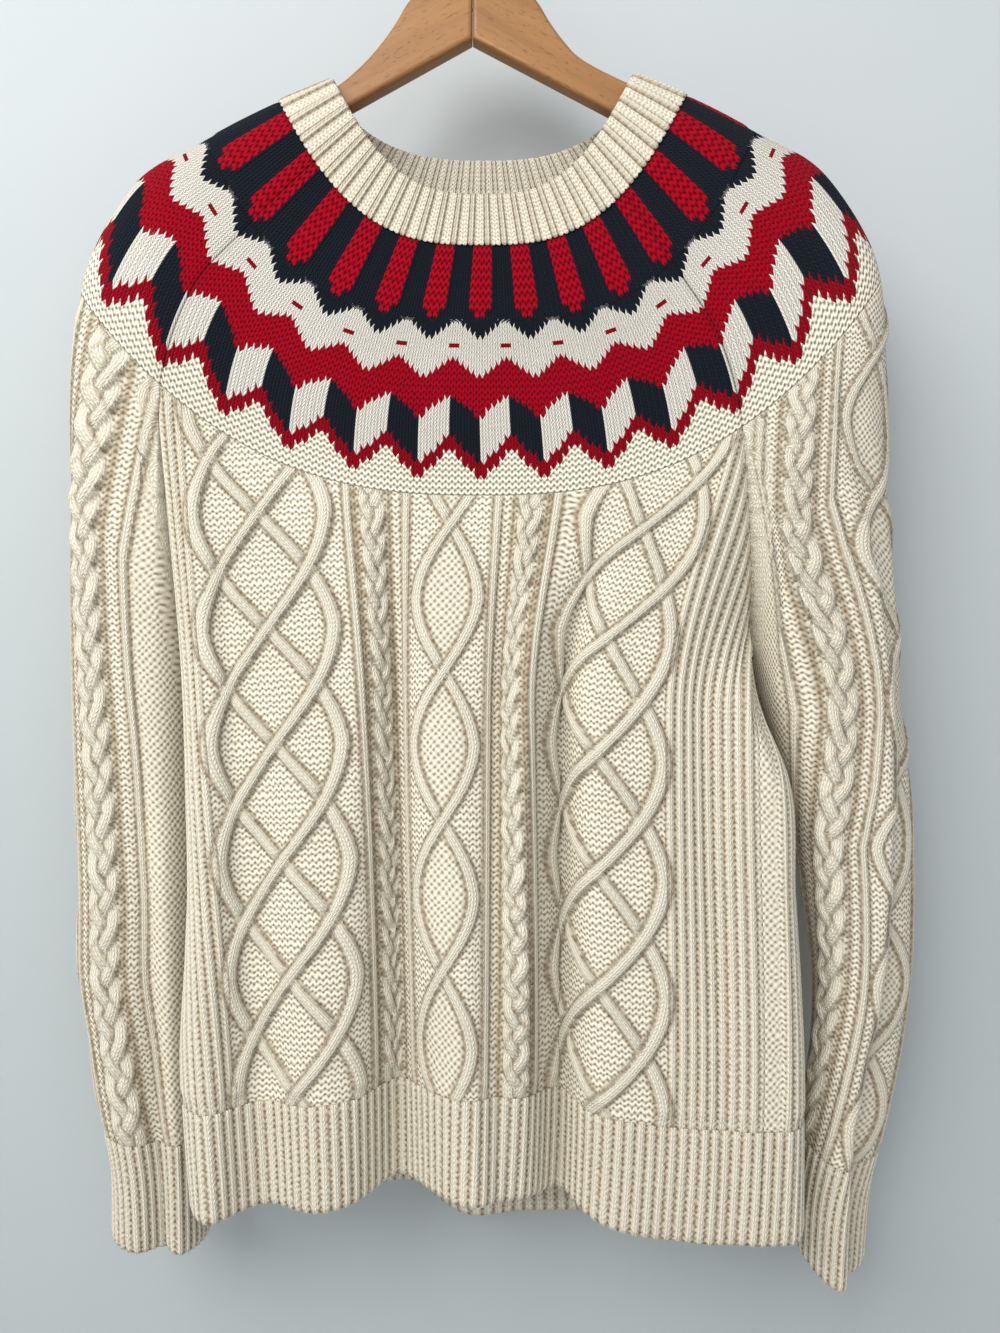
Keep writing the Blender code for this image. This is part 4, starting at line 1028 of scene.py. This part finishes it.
def noise(tree, scale, detail, stretch=(1, 1, 1), where=None):
    """Soft random values about 0.5, over the object's own coordinates or those given."""
    if where is None:
        where = tree.nodes.new("ShaderNodeTexCoord").outputs["Object"]
    mapping = tree.nodes.new("ShaderNodeMapping")
    mapping.inputs["Scale"].default_value = stretch
    made = tree.nodes.new("ShaderNodeTexNoise")
    set_inputs(made, {"Scale": scale, "Detail": detail})
    tree.links.new(where, mapping.inputs["Vector"])
    tree.links.new(mapping.outputs["Vector"], made.inputs["Vector"])
    return Field(tree, made.outputs["Fac"])


def add_bump(tree, shader, relief, strength, distance):
    """Shades the surface as if the relief, from 0 to 1, stood out by the distance."""
    bump = tree.nodes.new("ShaderNodeBump")
    set_inputs(bump, {"Strength": strength, "Distance": distance})
    tree.links.new(relief.socket, bump.inputs["Height"])
    tree.links.new(bump.outputs["Normal"], shader.inputs["Normal"])


def blend_colour(tree, amount, a, b):
    """Colour a where amount is 0, b where it is 1. A colour is three numbers or a socket."""
    made = tree.nodes.new("ShaderNodeMix")
    made.data_type = "RGBA"
    tree.links.new(amount.socket, made.inputs["Factor"])
    for name, colour in (("A", a), ("B", b)):
        socket = [s for s in made.inputs if s.name == name and s.type == "RGBA"][0]
        if isinstance(colour, tuple):
            socket.default_value = (*colour, 1.0)
        else:
            tree.links.new(colour, socket)
    return [s for s in made.outputs if s.type == "RGBA"][0]


def plain_stitches(s, t, slope):
    """Height of plain knitting, whose stitches are Vs of two leaning legs, and how a V leans."""
    side = (s.fraction() - 0.5).absolute()
    leg = 1 - ((side - LEG_AT) * LEG_NARROW).power(2.0)
    lean = t - side * slope
    strand = 0.5 - 0.5 * lean.cosine()
    return leg.clamped() * (LEG_LOW + (1 - LEG_LOW) * strand.power(LEG_ROUND)), lean


def purl_stitches(s, t):
    """Height of the back of plain knitting: wavy ridges that meet between their bends."""
    ridge = 0.5 + 0.5 * (t + PURL_WAVE * s.cosine()).cosine()
    open_bend = 1 - PURL_OPEN + PURL_OPEN * s.cosine(2.0)
    return 1 - (1 - ridge.power(PURL_ROUND)) * open_bend


def moss_stitches(s, t):
    """Height of moss stitch: beads that alternate both ways."""
    bead = s.cosine(MOSS_ACROSS) * t.cosine(MOSS_DOWN)
    return (0.5 + 0.5 * bead).power(MOSS_ROUND)


def knit_shader(name, chart=None):
    """A matte cotton knit, with painted shade between its stitches and in its furrows. chart gives the
    lit colour, the painted-shade colour and the garter share at a stitch of the yoke.
    """
    made, tree, shader = new_material(name)
    s, t = field(tree, "s"), field(tree, "t")
    if chart is None:
        s = s + (noise(tree, UNEVEN_ACROSS, 1.0) - 0.5) * UNEVEN
        t = t + (noise(tree, UNEVEN_DOWN, 1.0) - 0.5) * UNEVEN
    plain, lean = plain_stitches(s, t, LEG_LEAN)
    purl = purl_stitches(s, t)
    painted_shade = field(tree, "painted_shade").clamped()
    if chart is None:
        moss = moss_stitches(s, t)
        strand, _ = plain_stitches(field(tree, "cs"), field(tree, "ct"), STRAND_LEAN)
        on_strand = field(tree, "strand").clamped()
        # Painted shade: the lightness follows the stitches' relief, so the gaps between them are darker
        ground = field(tree, "moss").between(purl, moss)
        shade_and_wear = on_strand.between(ground, STRAND_GAP_SHADE + (1 - STRAND_GAP_SHADE) * strand)
        height = on_strand.between(ground, strand * 0.7)
        # The yarn's lit colour and its painted-shade colour for the gaps between stitches
        light, shaded_colour = CREAM, CREAM_SHADED
    else:
        light, shaded_colour, garter, pitch = chart(tree, s, lean)
        ridged = purl_stitches(s, t * pitch)
        # Painted shade between the legs of plain stitches and between garter ridges
        shade_and_wear = PLAIN_GAP_SHADE + (1 - PLAIN_GAP_SHADE) * plain.power(0.55)
        shade_and_wear = garter.between(shade_and_wear, ridged.power(0.8))
        height = garter.between(plain * 0.8, ridged * 1.2)
    fuzz = noise(tree, FUZZ_SCALE, 3.0) - 0.5
    wear = noise(tree, WEAR_SCALE, 3.0)
    shade_and_wear = (shade_and_wear + fuzz * FUZZ_TONE).clamped()
    # Painted shade in the furrows, darker at every row and at every second row; the worn patches after
    # it are the yarn's own tone
    furrow_shade_strength = FURROW_SHADE + FURROW_ROW_SHADE * t.cosine() + FURROW_SECOND_ROW_SHADE * t.cosine(0.5)
    shade_and_wear = shade_and_wear * (1 - painted_shade * furrow_shade_strength) * (1 - WEAR_TONE / 2 + WEAR_TONE * wear)
    colour = blend_colour(tree, shade_and_wear.clamped(), shaded_colour, light)
    tree.links.new(colour, shader.inputs["Base Color"])
    set_inputs(shader, {"Roughness": 0.92, "Specular IOR Level": 0.05})
    set_inputs(shader, {"Sheen Weight": 0.02, "Sheen Roughness": 0.5})
    stands = KNIT_BUMP if chart is None else YOKE_BUMP
    add_bump(tree, shader, height + fuzz * FUZZ_RELIEF, 1.0, stands)
    return made


def yoke_chart(tree, s, lean):
    """The lit colour and the painted-shade colour at a stitch, and how much of garter ridges it has."""
    down = field(tree, "down")
    column = (s.floor() + 0.5) / field(tree, "per_motif")
    level = (lean.floor() + 0.5 + 0.25 * LEG_LEAN) * (-YOKE_ROW * 1000)
    x = (column + 0.5).fraction() - 0.5
    a = x.absolute()
    level = level.most(0.0)

    def edge(band):
        return band.at_petal + a * (2 * (band.at_between - band.at_petal))

    petal_tip = (PETAL_END - level) * (PETAL_TIP / PETAL_TAPER)
    petal = a.less((PETAL_HALF - PETAL_NARROWS * level).least(petal_tip))
    bulge = (1 - 2 * a).clamped().power(SCALLOP_ROUND)
    scallop = SCALLOP.at_between + bulge * (SCALLOP.at_petal - SCALLOP.at_between)
    in_ivory = level.more(scallop) * level.less(edge(IVORY_END))
    in_ribbon = level.more(edge(RED_END)) * level.less(edge(RIBBON_END))
    ivory_ribbon = in_ribbon * x.more(0.0)
    navy_ribbon = in_ribbon * x.less(0.0)
    navy = level.less(scallop) * (1 - petal) + navy_ribbon
    dash = (down - DASH_DOWN).absolute().less(DASH_HALF) * a.more(DASH_FROM)
    ivory = (in_ivory * (1 - dash) + ivory_ribbon).clamped()
    cream = level.more(edge(ZIGZAG_END))
    # Each yarn's lit colour and its painted-shade colour for the gaps between stitches
    light, shaded_colour = RED, RED_SHADED
    yarns = ((navy.clamped(), NAVY, NAVY_SHADED), (ivory, IVORY, IVORY_SHADED), (cream, CREAM, CREAM_SHADED))
    for share, yarn, yarn_shaded in yarns:
        light = blend_colour(tree, share, light, yarn)
        shaded_colour = blend_colour(tree, share, shaded_colour, yarn_shaded)
    band = level.more(edge(IVORY_END)) * level.less(edge(RED_END))
    garter = (petal + cream + band * BAND_GARTER).clamped()
    return light, shaded_colour, garter, petal.between(GROUND_PITCH, GARTER_PITCH)


def yoke_petals(motif, down_mm):
    """How much of a petal is at a place, for the petals' raised garter."""
    a = np.abs((motif + 0.5) % 1 - 0.5)
    tip = (PETAL_END - down_mm) * (PETAL_TIP / PETAL_TAPER)
    half = np.minimum(PETAL_HALF - PETAL_NARROWS * down_mm, tip)
    return np.clip((half - a) / 0.06, 0, 1)


def placed(name, data):
    """An object in the scene."""
    thing = bpy.data.objects.new(name, data)
    bpy.context.scene.collection.objects.link(thing)
    return thing


def add(mesh, name, material, node, slot):
    """The piece that replaces a node of the frame."""
    thing = placed(name, mesh)
    thing.data.materials.clear()
    thing.data.materials.append(material)
    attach(thing, "root")
    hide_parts(node)
    return thing


def area_of(grid):
    """Area of a grid's surface."""
    a = grid[1:, :-1] - grid[:-1, :-1]
    b = grid[:-1, 1:] - grid[:-1, :-1]
    return float(np.linalg.norm(np.cross(a, b), axis=-1).sum())


def declare(grid, closed, rests_on):
    """Works out the widths, lengths and area of the grid that the piece hangs on, and keeps none of
    them.
    """
    rows = grid if not closed else np.concatenate([grid, grid[:, :1]], axis=1)
    widths = np.linalg.norm(np.diff(rows, axis=1), axis=2).sum(axis=1)
    lengths = np.linalg.norm(np.diff(rows, axis=0), axis=2).sum(axis=0)
    area_of(rows)


def panel_columns():
    """Distances of a body panel's columns from its middle, closer together where it is cabled."""
    fine = np.linspace(0, BODY_HALF, SPACING_POINTS)
    rows = [next(row for row in SPACINGS if place <= row.until + 1e-9) for place in fine]
    widths = np.array([row.width for row in rows])
    count = np.concatenate([[0], np.cumsum(np.diff(fine) / widths[1:])])
    half = INNER_EVERY * round(count[-1] / INNER_EVERY)
    right = np.interp(np.linspace(0, count[-1], half + 1), count, fine)
    return np.concatenate([-right[:0:-1], right[:-1]])


def cabled_piece(name, part, part_normals, knit, every, closed, sense):
    """A panel or sleeve: its cables stand out of the wall and sink in at its upper and lower edge."""
    fade = rising(knit.height[0] - knit.height, 0, RELIEF_STARTS)
    fade *= np.clip(knit.height / RELIEF_ENDS, END_SHARE, 1)
    outer = part + part_normals * (knit.raised * fade)[..., None]
    inner = part - part_normals * WALL
    mesh = wall_mesh(name + "_knit", outer, inner, every, closed, sense, knit_fields(knit))
    return add(mesh, name + "_knit", knit_shader(name + "_cotton"), name, name + "_knit")


def body_panels(names, panel, rows, chosen):
    """The front's and the back's share of a body grid, in the chosen rows, with heights and places."""
    across = np.concatenate([panel, panel + 2 * BODY_HALF])
    grid, normals, height = body_grid(across, rows)
    for name, first in zip(names, (0, len(panel))):
        columns = np.arange(first, first + len(panel) + 1) % len(across)
        part, part_normals = grid[chosen][:, columns], normals[chosen][:, columns]
        place = np.broadcast_to(np.append(panel, BODY_HALF), part.shape[:2]).copy()
        yield name, part, part_normals, place, height[chosen][:, columns]


def make_body():
    shown = slice(0, BODY_ROWS.blend + BODY_ROWS.tube + 1)
    panels = body_panels(("front", "back"), panel_columns(), BODY_ROWS, shown)
    for name, part, part_normals, place, height in panels:
        knit = body_knit(place, height)
        piece = cabled_piece(name, part, part_normals, knit, INNER_EVERY, False, 1)
        declare(part, False, ["yoke_" + name + "_knit"])


def make_hems():
    columns = np.linspace(-BODY_HALF, BODY_HALF, COLUMNS_PER_RIB * HEM_RIBS + 1)[:-1]
    shown = slice(RIBBED_ROWS.blend + RIBBED_ROWS.tube, None)
    panels = body_panels(("hem_front", "hem_back"), columns, RIBBED_ROWS, shown)
    for name, part, part_normals, place, height in panels:
        knit = Knit(place, height)
        ribs(knit, place + BODY_HALF, 2 * BODY_HALF / HEM_RIBS, np.ones(part.shape[:2], bool))
        piece = ribbed_piece(name, part, part_normals, knit, False, 1)
        declare(part, False, [name.replace("hem_", "") + "_knit"])


def ribbed_piece(name, part, part_normals, knit, closed, sense):
    """A ribbed edge: its ribs show inside as well, where the outside has its furrows."""
    rolled = np.linspace(0, 1, part.shape[0])[:, None]
    lip = rising(rolled, 1 - LIP_SHARE, LIP_SHARE) ** 2
    outer = part + part_normals * (knit.raised - LIP_OUT * lip)[..., None]
    thick = WALL - INNER_RIB * knit.raised - LIP_IN * lip
    inner = part - part_normals * thick[..., None]
    mesh = wall_mesh(name + "_knit", outer, inner, 1, closed, sense, knit_fields(knit))
    return add(mesh, name + "_knit", knit_shader(name + "_cotton"), name, name + "_rib")


def sleeve_shift(name, depth):
    """How far the sleeve's pattern is turned round it, by depth below the yoke."""
    return sum(turn.by * rising(depth, turn.start, turn.reach) for turn in SLEEVE_TURNS[name])


def make_sleeves():
    ring_columns = SLEEVE_MOTIFS * COLUMNS_PER_MOTIF
    shares = np.concatenate(
        [
            np.linspace(0, SLEEVE_CORNER, SLEEVE_RAGLAN_COLUMNS + 1)[:-1],
            np.linspace(SLEEVE_CORNER, 1 - SLEEVE_CORNER, ring_columns + 1)[:-1],
            np.linspace(1 - SLEEVE_CORNER, 1, SLEEVE_RAGLAN_COLUMNS + 1)[:-1],
        ]
    )
    last = SLEEVE_ROWS.blend + SLEEVE_ROWS.tube
    for name in ("left", "right"):
        grid, normals, height, across = sleeve_grid(name, shares, SLEEVE_ROWS)
        part, part_normals = grid[: last + 1], normals[: last + 1]
        depth = (height[0] - height)[: last + 1]
        place = across[: last + 1] + sleeve_shift(name, depth)
        knit = sleeve_knit(place, height[: last + 1])
        edge = SLEEVE_RAGLAN_COLUMNS
        plain_seam(knit, part, np.concatenate([part[0, :edge], part[0, -edge:]]))
        sense = SENSE[name]
        label = "sleeve_" + name
        piece = cabled_piece(label, part, part_normals, knit, SLEEVE_INNER_EVERY, True, sense)
        declare(part, True, ["yoke_" + name + "_knit"])
        make_cuff(name)


def make_cuff(name):
    shares = np.linspace(0, 1, COLUMNS_PER_RIB * CUFF_RIBS + 1)[:-1]
    grid, normals, height, across = sleeve_grid(name, shares, RIBBED_ROWS)
    first_row = RIBBED_ROWS.blend + RIBBED_ROWS.tube
    part, part_normals = grid[first_row:], normals[first_row:]
    knit = Knit(across[first_row:], height[first_row:])
    places = np.broadcast_to(shares * CUFF_RIBS, part.shape[:2])
    ribs(knit, places * CUFF_RIB_PITCH, CUFF_RIB_PITCH, np.ones(part.shape[:2], bool))
    sense = SENSE[name]
    piece = ribbed_piece("cuff_" + name, part, part_normals, knit, True, sense)
    declare(part, True, ["sleeve_" + name + "_knit"])


def make_yoke():
    motifs = np.arange(0, MOTIFS * YOKE_COLUMNS) / YOKE_COLUMNS - BODY_MOTIFS / 2 + FRONT_MIDDLE
    downs = np.linspace(0, YOKE_DOWN, YOKE_ROWS + 1)
    grid = np.array([ring(motifs, down) for down in downs])
    normals = normals_of(grid, 1.0)
    normals[-1] = ring_normals(motifs)
    start = 0
    for name in ("front", "right", "back", "left"):
        width = YOKE_COLUMNS * (BODY_MOTIFS if name in ("front", "back") else SLEEVE_MOTIFS)
        columns = np.arange(start, start + width + 1) % len(motifs)
        part, part_normals = grid[:, columns], normals[:, columns]
        motif = motifs[0] + (start + np.arange(len(columns))) / YOKE_COLUMNS
        motif = np.broadcast_to(motif, part.shape[:2])
        down = np.broadcast_to(downs[:, None], part.shape[:2])
        petals = yoke_petals(motif, down * 1000)
        fade = np.clip(np.minimum(down, YOKE_DOWN - down) / PETAL_FADE, 0, 1)
        from_side = np.minimum(motif - motif[0, 0], motif[0, -1] - motif)
        groove = np.exp(-((from_side / GROOVE_HALF) ** 2))
        raised = (PETAL_RAISED * petals - GROOVE_DEPTH * groove) * fade
        per = np.where(down * 1000 < STITCHES_CHANGE, STITCHES_ABOVE, STITCHES_BELOW).astype(float)
        knit_rows = {
            "s": motif * per + 0.5,
            "t": -down / YOKE_ROW,
            "down": down * 1000,
            "per_motif": per,
            # Painted shade in the groove at each seam
            "painted_shade": GROOVE_SHADE * groove,
        }
        outer = part + part_normals * raised[..., None]
        inner = part - part_normals * WALL
        label = "yoke_" + name
        mesh = wall_mesh(label + "_knit", outer, inner, INNER_EVERY, False, 1, knit_rows)
        cotton = knit_shader(label + "_cotton", yoke_chart)
        piece = add(mesh, label + "_knit", cotton, label, label + "_knit")
        declare(part, False, ["hanger_arm_left_wood", "hanger_arm_right_wood"])
        start += width


def make_neckband():
    """A doubled band: the outside with a chain at its seam, over its top edge and down the inside."""
    count = BAND_RIBS * BAND_COLUMNS
    motifs = np.arange(count) / count * MOTIFS
    place = (np.arange(count) / BAND_COLUMNS) % 1
    levels = np.linspace(0, BAND_DOWN + BAND_STANDS, BAND_SIDE_ROWS)
    base = np.array([ring(motifs, down) for down in levels])
    normals = normals_of(base, -1.0)
    normals[0] = normals_of(np.array([ring(motifs, d) for d in (0.004, 0, -0.004)]), -1.0)[1]
    on_cord = place < BAND_CORD
    stitch = np.where(on_cord, place / BAND_CORD, 2 * (place - BAND_CORD) / (1 - BAND_CORD))
    crest = np.where(on_cord, np.abs(np.sin(2 * math.pi * stitch)) ** 0.5, BAND_PANEL)
    from_cord = np.minimum.reduce([np.abs(place - edge) for edge in (0, BAND_CORD, 1)])
    furrow = np.exp(-((from_cord / BAND_FURROW) ** 2))
    outside = base + normals * (BAND_STANDS + CORD_HEIGHT * crest)[None, :, None]
    inside = base - normals * (BAND_WALL - BAND_STANDS - BAND_INSIDE * crest)[None, :, None]
    up = unit(base[-1] - base[-2])
    chain = np.abs(np.sin(np.arange(count) / BAND_COLUMNS * math.pi * CHAIN_LINKS)) ** 0.6
    hem = base[0] - up * (CHAIN_DROP + CHAIN_REACH * chain)[:, None] + normals[0] * CHAIN_OUT
    middle = (outside[-1] + inside[-1]) / 2
    half = (outside[-1] - inside[-1]) / 2
    rim = []
    for angle in np.linspace(0, math.pi, BAND_TOP_ROWS + 2)[1:-1]:
        rim.append(middle + half * math.cos(angle) + up * BAND_LIP * math.sin(angle))
    grid = np.concatenate([hem[None], outside, np.array(rim), inside[::-1]])
    every = np.ones(grid.shape[:2])
    row = every * (run_of(grid[:, 0]) / BAND_ROW)[:, None]
    fields = {
        "s": every * stitch,
        "t": row,
        "cs": every * stitch,
        "ct": row,
        "strand": 0.55 * every + 0.3 * on_cord,
        "moss": 0 * every,
        # Painted shade, strong in the furrows beside the cords and faint over the whole band
        "painted_shade": every * (0.10 + 0.90 * furrow),
    }
    mesh = tube_mesh("neckband_knit", grid, -1, fields)
    piece = add(mesh, "neckband_knit", knit_shader("neckband_cotton"), "neckband", "neckband_knit")
    declare(base, True, ["yoke_front_knit", "yoke_back_knit"])


def under_ridge(side):
    """An arm's top edge below the cloth's ridge, with distances from the hanger's middle."""
    places = np.array([row.half_width + side * row.middle for row in RINGS])
    heights = np.array([row.ridge_z + side * TILT * row.half_width for row in RINGS])
    slopes = np.gradient(heights, places)
    lengths = np.hypot(1, slopes)
    edge = zip(places + RIDGE_CLEAR * slopes / lengths, heights - RIDGE_CLEAR / lengths)
    return list(edge)[:COVERED_RINGS]


def arm_outline(side):
    """Outline of an arm, from the top of the joint outward, with distances from the middle."""
    shoulder = [(0.016, ARM_TOP_Z), (0.030, -0.056), (0.0400, -0.0650), (0.0470, -0.0780)]
    shoulder += [(0.0560, -0.0905), (0.0665, -0.1025)]
    tip = [(0.2065, -0.1850), (0.2080, -0.1930), (0.2025, -0.2000)]
    under = [(0.190, -0.1930), (0.150, -0.1690), (0.0886, -0.1365), (SEAM / 2, -0.0885)]
    free = [(x, z + side * TILT * x) for x, z in [(SEAM / 2, ARM_TOP_Z)] + shoulder]
    return free + under_ridge(side) + [(x, z + side * TILT * x) for x, z in tip + under]


def rounded(points, rounds):
    """Cuts the corners of a closed outline, but not those at the hanger's joint."""
    for _ in range(rounds):
        cut = []
        for k, point in enumerate(points):
            before, after = points[k - 1], points[(k + 1) % len(points)]
            if point[0] < 0.001:
                cut.append(point)
                continue
            cut.append(tuple(0.75 * p + 0.25 * b for p, b in zip(point, before)))
            cut.append(tuple(0.75 * p + 0.25 * a for p, a in zip(point, after)))
        points = cut
    return points


def wood_shader(name, side):
    """Varnished beech: long soft grain and short dark flecks along the arm."""
    made, tree, shader = new_material(name)
    where = tree.nodes.new("ShaderNodeTexCoord")
    turned = tree.nodes.new("ShaderNodeMapping")
    turned.inputs["Rotation"].default_value = (0, side * math.radians(-29), 0)
    tree.links.new(where.outputs["Object"], turned.inputs["Vector"])

    wood = turned.outputs["Vector"]
    broad = noise(tree, 60.0, 3.0, (0.10, 1.0, 1.0), wood)
    fine = noise(tree, 420.0, 4.0, (0.06, 1.0, 1.0), wood)
    fleck = ((noise(tree, 1100.0, 1.0, (0.20, 1.0, 1.0), wood) - 0.62) * 9.0).clamped()
    tone = ((broad - 0.5) * 1.3 + (fine - 0.5) * 0.7 + 0.5).clamped()
    colour = blend_colour(tree, tone, BEECH_DEEP, BEECH)
    colour = blend_colour(tree, fleck * 0.55, colour, BEECH_FLECK)
    tree.links.new(colour, shader.inputs["Base Color"])
    rough = 0.34 + 0.14 * fine
    tree.links.new(rough.socket, shader.inputs["Roughness"])
    set_inputs(shader, {"Specular IOR Level": 0.30, "Coat Weight": 0.10, "Coat Roughness": 0.30})
    add_bump(tree, shader, fine - fleck * 0.6, 0.25, 0.0004)
    return made


def steel_shader(name):
    """Wire with small scuffs."""
    made, tree, shader = new_material(name)
    scuffs = noise(tree, 240.0, 3.0)
    colour = blend_colour(tree, scuffs, (0.440,) * 3, (0.6325,) * 3)
    tree.links.new(colour, shader.inputs["Base Color"])
    shader.inputs["Metallic"].default_value = 1.0
    tree.links.new((0.22 + 0.2 * scuffs).socket, shader.inputs["Roughness"])
    return made


def curve_mesh(curve, name, points, turned=False):
    """The mesh of a curve through the points, stood up on its edge if it is drawn flat."""
    spline = curve.splines.new("POLY")
    spline.points.add(len(points) - 1)
    for point, place in zip(spline.points, points):
        point.co = (*place, 1)
    spline.use_cyclic_u = turned
    flat = placed(name + "_curve", curve)
    if turned:
        flat.rotation_euler = (math.pi / 2, 0, 0)
    bpy.context.view_layer.update()
    graph = bpy.context.evaluated_depsgraph_get()
    mesh = bpy.data.meshes.new_from_object(flat.evaluated_get(graph))
    mesh.transform(flat.matrix_world)
    bpy.data.objects.remove(flat)
    mesh.name = name
    mesh.shade_smooth()
    return mesh


def make_hanger():
    for name, side in (("hanger_arm_right", 1), ("hanger_arm_left", -1)):
        curve = bpy.data.curves.new(name, "CURVE")
        curve.dimensions = "2D"
        curve.fill_mode = "BOTH"
        curve.extrude = ARM_THICK / 2 - ARM_EDGE
        curve.bevel_depth = ARM_EDGE
        curve.bevel_resolution = 4
        curve.offset = -ARM_EDGE
        points = [(side * x, z, 0) for x, z in rounded(arm_outline(side), 3)]
        mesh = curve_mesh(curve, name + "_wood", points, True)
        mesh.set_sharp_from_angle(angle=math.radians(40))
        slot = name.replace("hanger_", "") + "_beech"
        add(mesh, name + "_wood", wood_shader(name + "_beech", side), name, slot)
    make_hook()


def make_hook():
    """A wire hook whose bend's inside top is the origin."""
    centre_z = -HOOK_BEND
    wire = HOOK_BEND + HOOK_RADIUS
    route = [(0, 0, ARM_TOP_Z - HOOK_SINK + SEAM), (0, 0, ARM_TOP_Z + 0.004), (0.0015, 0, -0.046)]
    for degrees in range(-60, 211, 6):
        angle = math.radians(degrees)
        route.append((wire * math.cos(angle), 0, centre_z + wire * math.sin(angle)))
    curve = bpy.data.curves.new("hanger_hook_wire", "CURVE")
    curve.dimensions = "3D"
    curve.bevel_depth = HOOK_RADIUS
    curve.bevel_resolution = 6
    curve.use_fill_caps = True
    mesh = curve_mesh(curve, "hanger_hook_wire", route)
    add(mesh, "hanger_hook_wire", steel_shader("hook_wire_steel"), "hanger_hook", "hook_steel")


def matte(name, colour):
    made, _, shader = new_material(name)
    set_inputs(shader, {"Base Color": (*colour, 1), "Roughness": 0.95})
    return made


def wall_material():
    """A pale wall, darker towards the floor by painted shade, and see-through from behind."""
    made = matte("wall_paint", WALL_LIT_HIGH)
    tree = made.node_tree
    shader, out = tree.nodes["Principled BSDF"], tree.nodes["Material Output"]
    where = tree.nodes.new("ShaderNodeTexCoord")
    parts = tree.nodes.new("ShaderNodeSeparateXYZ")
    tree.links.new(where.outputs["Object"], parts.inputs["Vector"])
    # Painted shade: the wall darkens towards the floor as the light falls off
    drop = (Field(tree, parts.outputs["Z"]) * -WALL_SHADE_DROP - WALL_SHADE_FROM).clamped()
    tree.links.new(blend_colour(tree, drop, WALL_LIT_HIGH, WALL_SHADED_LOW), shader.inputs["Base Color"])
    clear = tree.nodes.new("ShaderNodeBsdfTransparent")
    side = tree.nodes.new("ShaderNodeNewGeometry")
    mix = tree.nodes.new("ShaderNodeMixShader")
    tree.links.new(side.outputs["Backfacing"], mix.inputs["Fac"])
    tree.links.new(shader.outputs["BSDF"], mix.inputs[1])
    tree.links.new(clear.outputs["BSDF"], mix.inputs[2])
    tree.links.new(mix.outputs["Shader"], out.inputs["Surface"])
    return made


def make_stage():
    def sheet_of(name, corners, material):
        mesh = bpy.data.meshes.new(name)
        mesh.from_pydata(corners, [], [(0, 1, 2, 3)])
        thing = placed(name, mesh)
        thing.data.materials.append(material)
        return thing

    far = WALL_HALF
    low = [(-far, WALL_Y, FLOOR_Z), (far, WALL_Y, FLOOR_Z)]
    high = [(far, WALL_Y, WALL_TOP), (-far, WALL_Y, WALL_TOP)]
    wall = sheet_of("backdrop_wall", low + high, wall_material())
    wall.visible_shadow = False
    floor = [(-far, -far, FLOOR_Z), (far, -far, FLOOR_Z), (far, far, FLOOR_Z), (-far, far, FLOOR_Z)]
    sheet_of("floor", floor, matte("floor_paint", FLOOR))


def make_light():
    world = bpy.data.worlds.new("studio")
    bpy.context.scene.world = world
    world.use_nodes = True
    back = world.node_tree.nodes["Background"]
    set_inputs(back, {"Color": ROOM_TINT, "Strength": ROOM_LIGHT})
    for lamp in LAMPS:
        light = bpy.data.lights.new(lamp.name, "AREA")
        light.shape = "RECTANGLE"
        light.size, light.size_y = lamp.size
        light.energy = lamp.power
        light.color = lamp.colour
        holder = placed(lamp.name, light)
        holder.location = lamp.at
        aim = np.array(LAMPS_AIM) - np.array(lamp.at)
        tilt = math.atan2(math.hypot(aim[0], aim[1]), -aim[2])
        holder.rotation_euler = (tilt, 0, math.atan2(aim[0], -aim[1]) + math.pi)


def make_camera():
    lens = bpy.data.cameras.new("camera")
    lens.sensor_fit = "VERTICAL"
    lens.sensor_height = 36
    lens.lens = CAMERA_LENS
    lens.clip_start = 0.02
    holder = placed("camera", lens)
    holder.location = CAMERA_AT
    holder.rotation_euler = (math.pi / 2, 0, 0)
    bpy.context.scene.camera = holder


def main():
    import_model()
    make_camera()
    make_hanger()
    make_neckband()
    make_yoke()
    make_body()
    make_hems()
    make_sleeves()
    make_stage()
    make_light()
    bpy.context.scene.view_settings.view_transform = "Standard"


main()
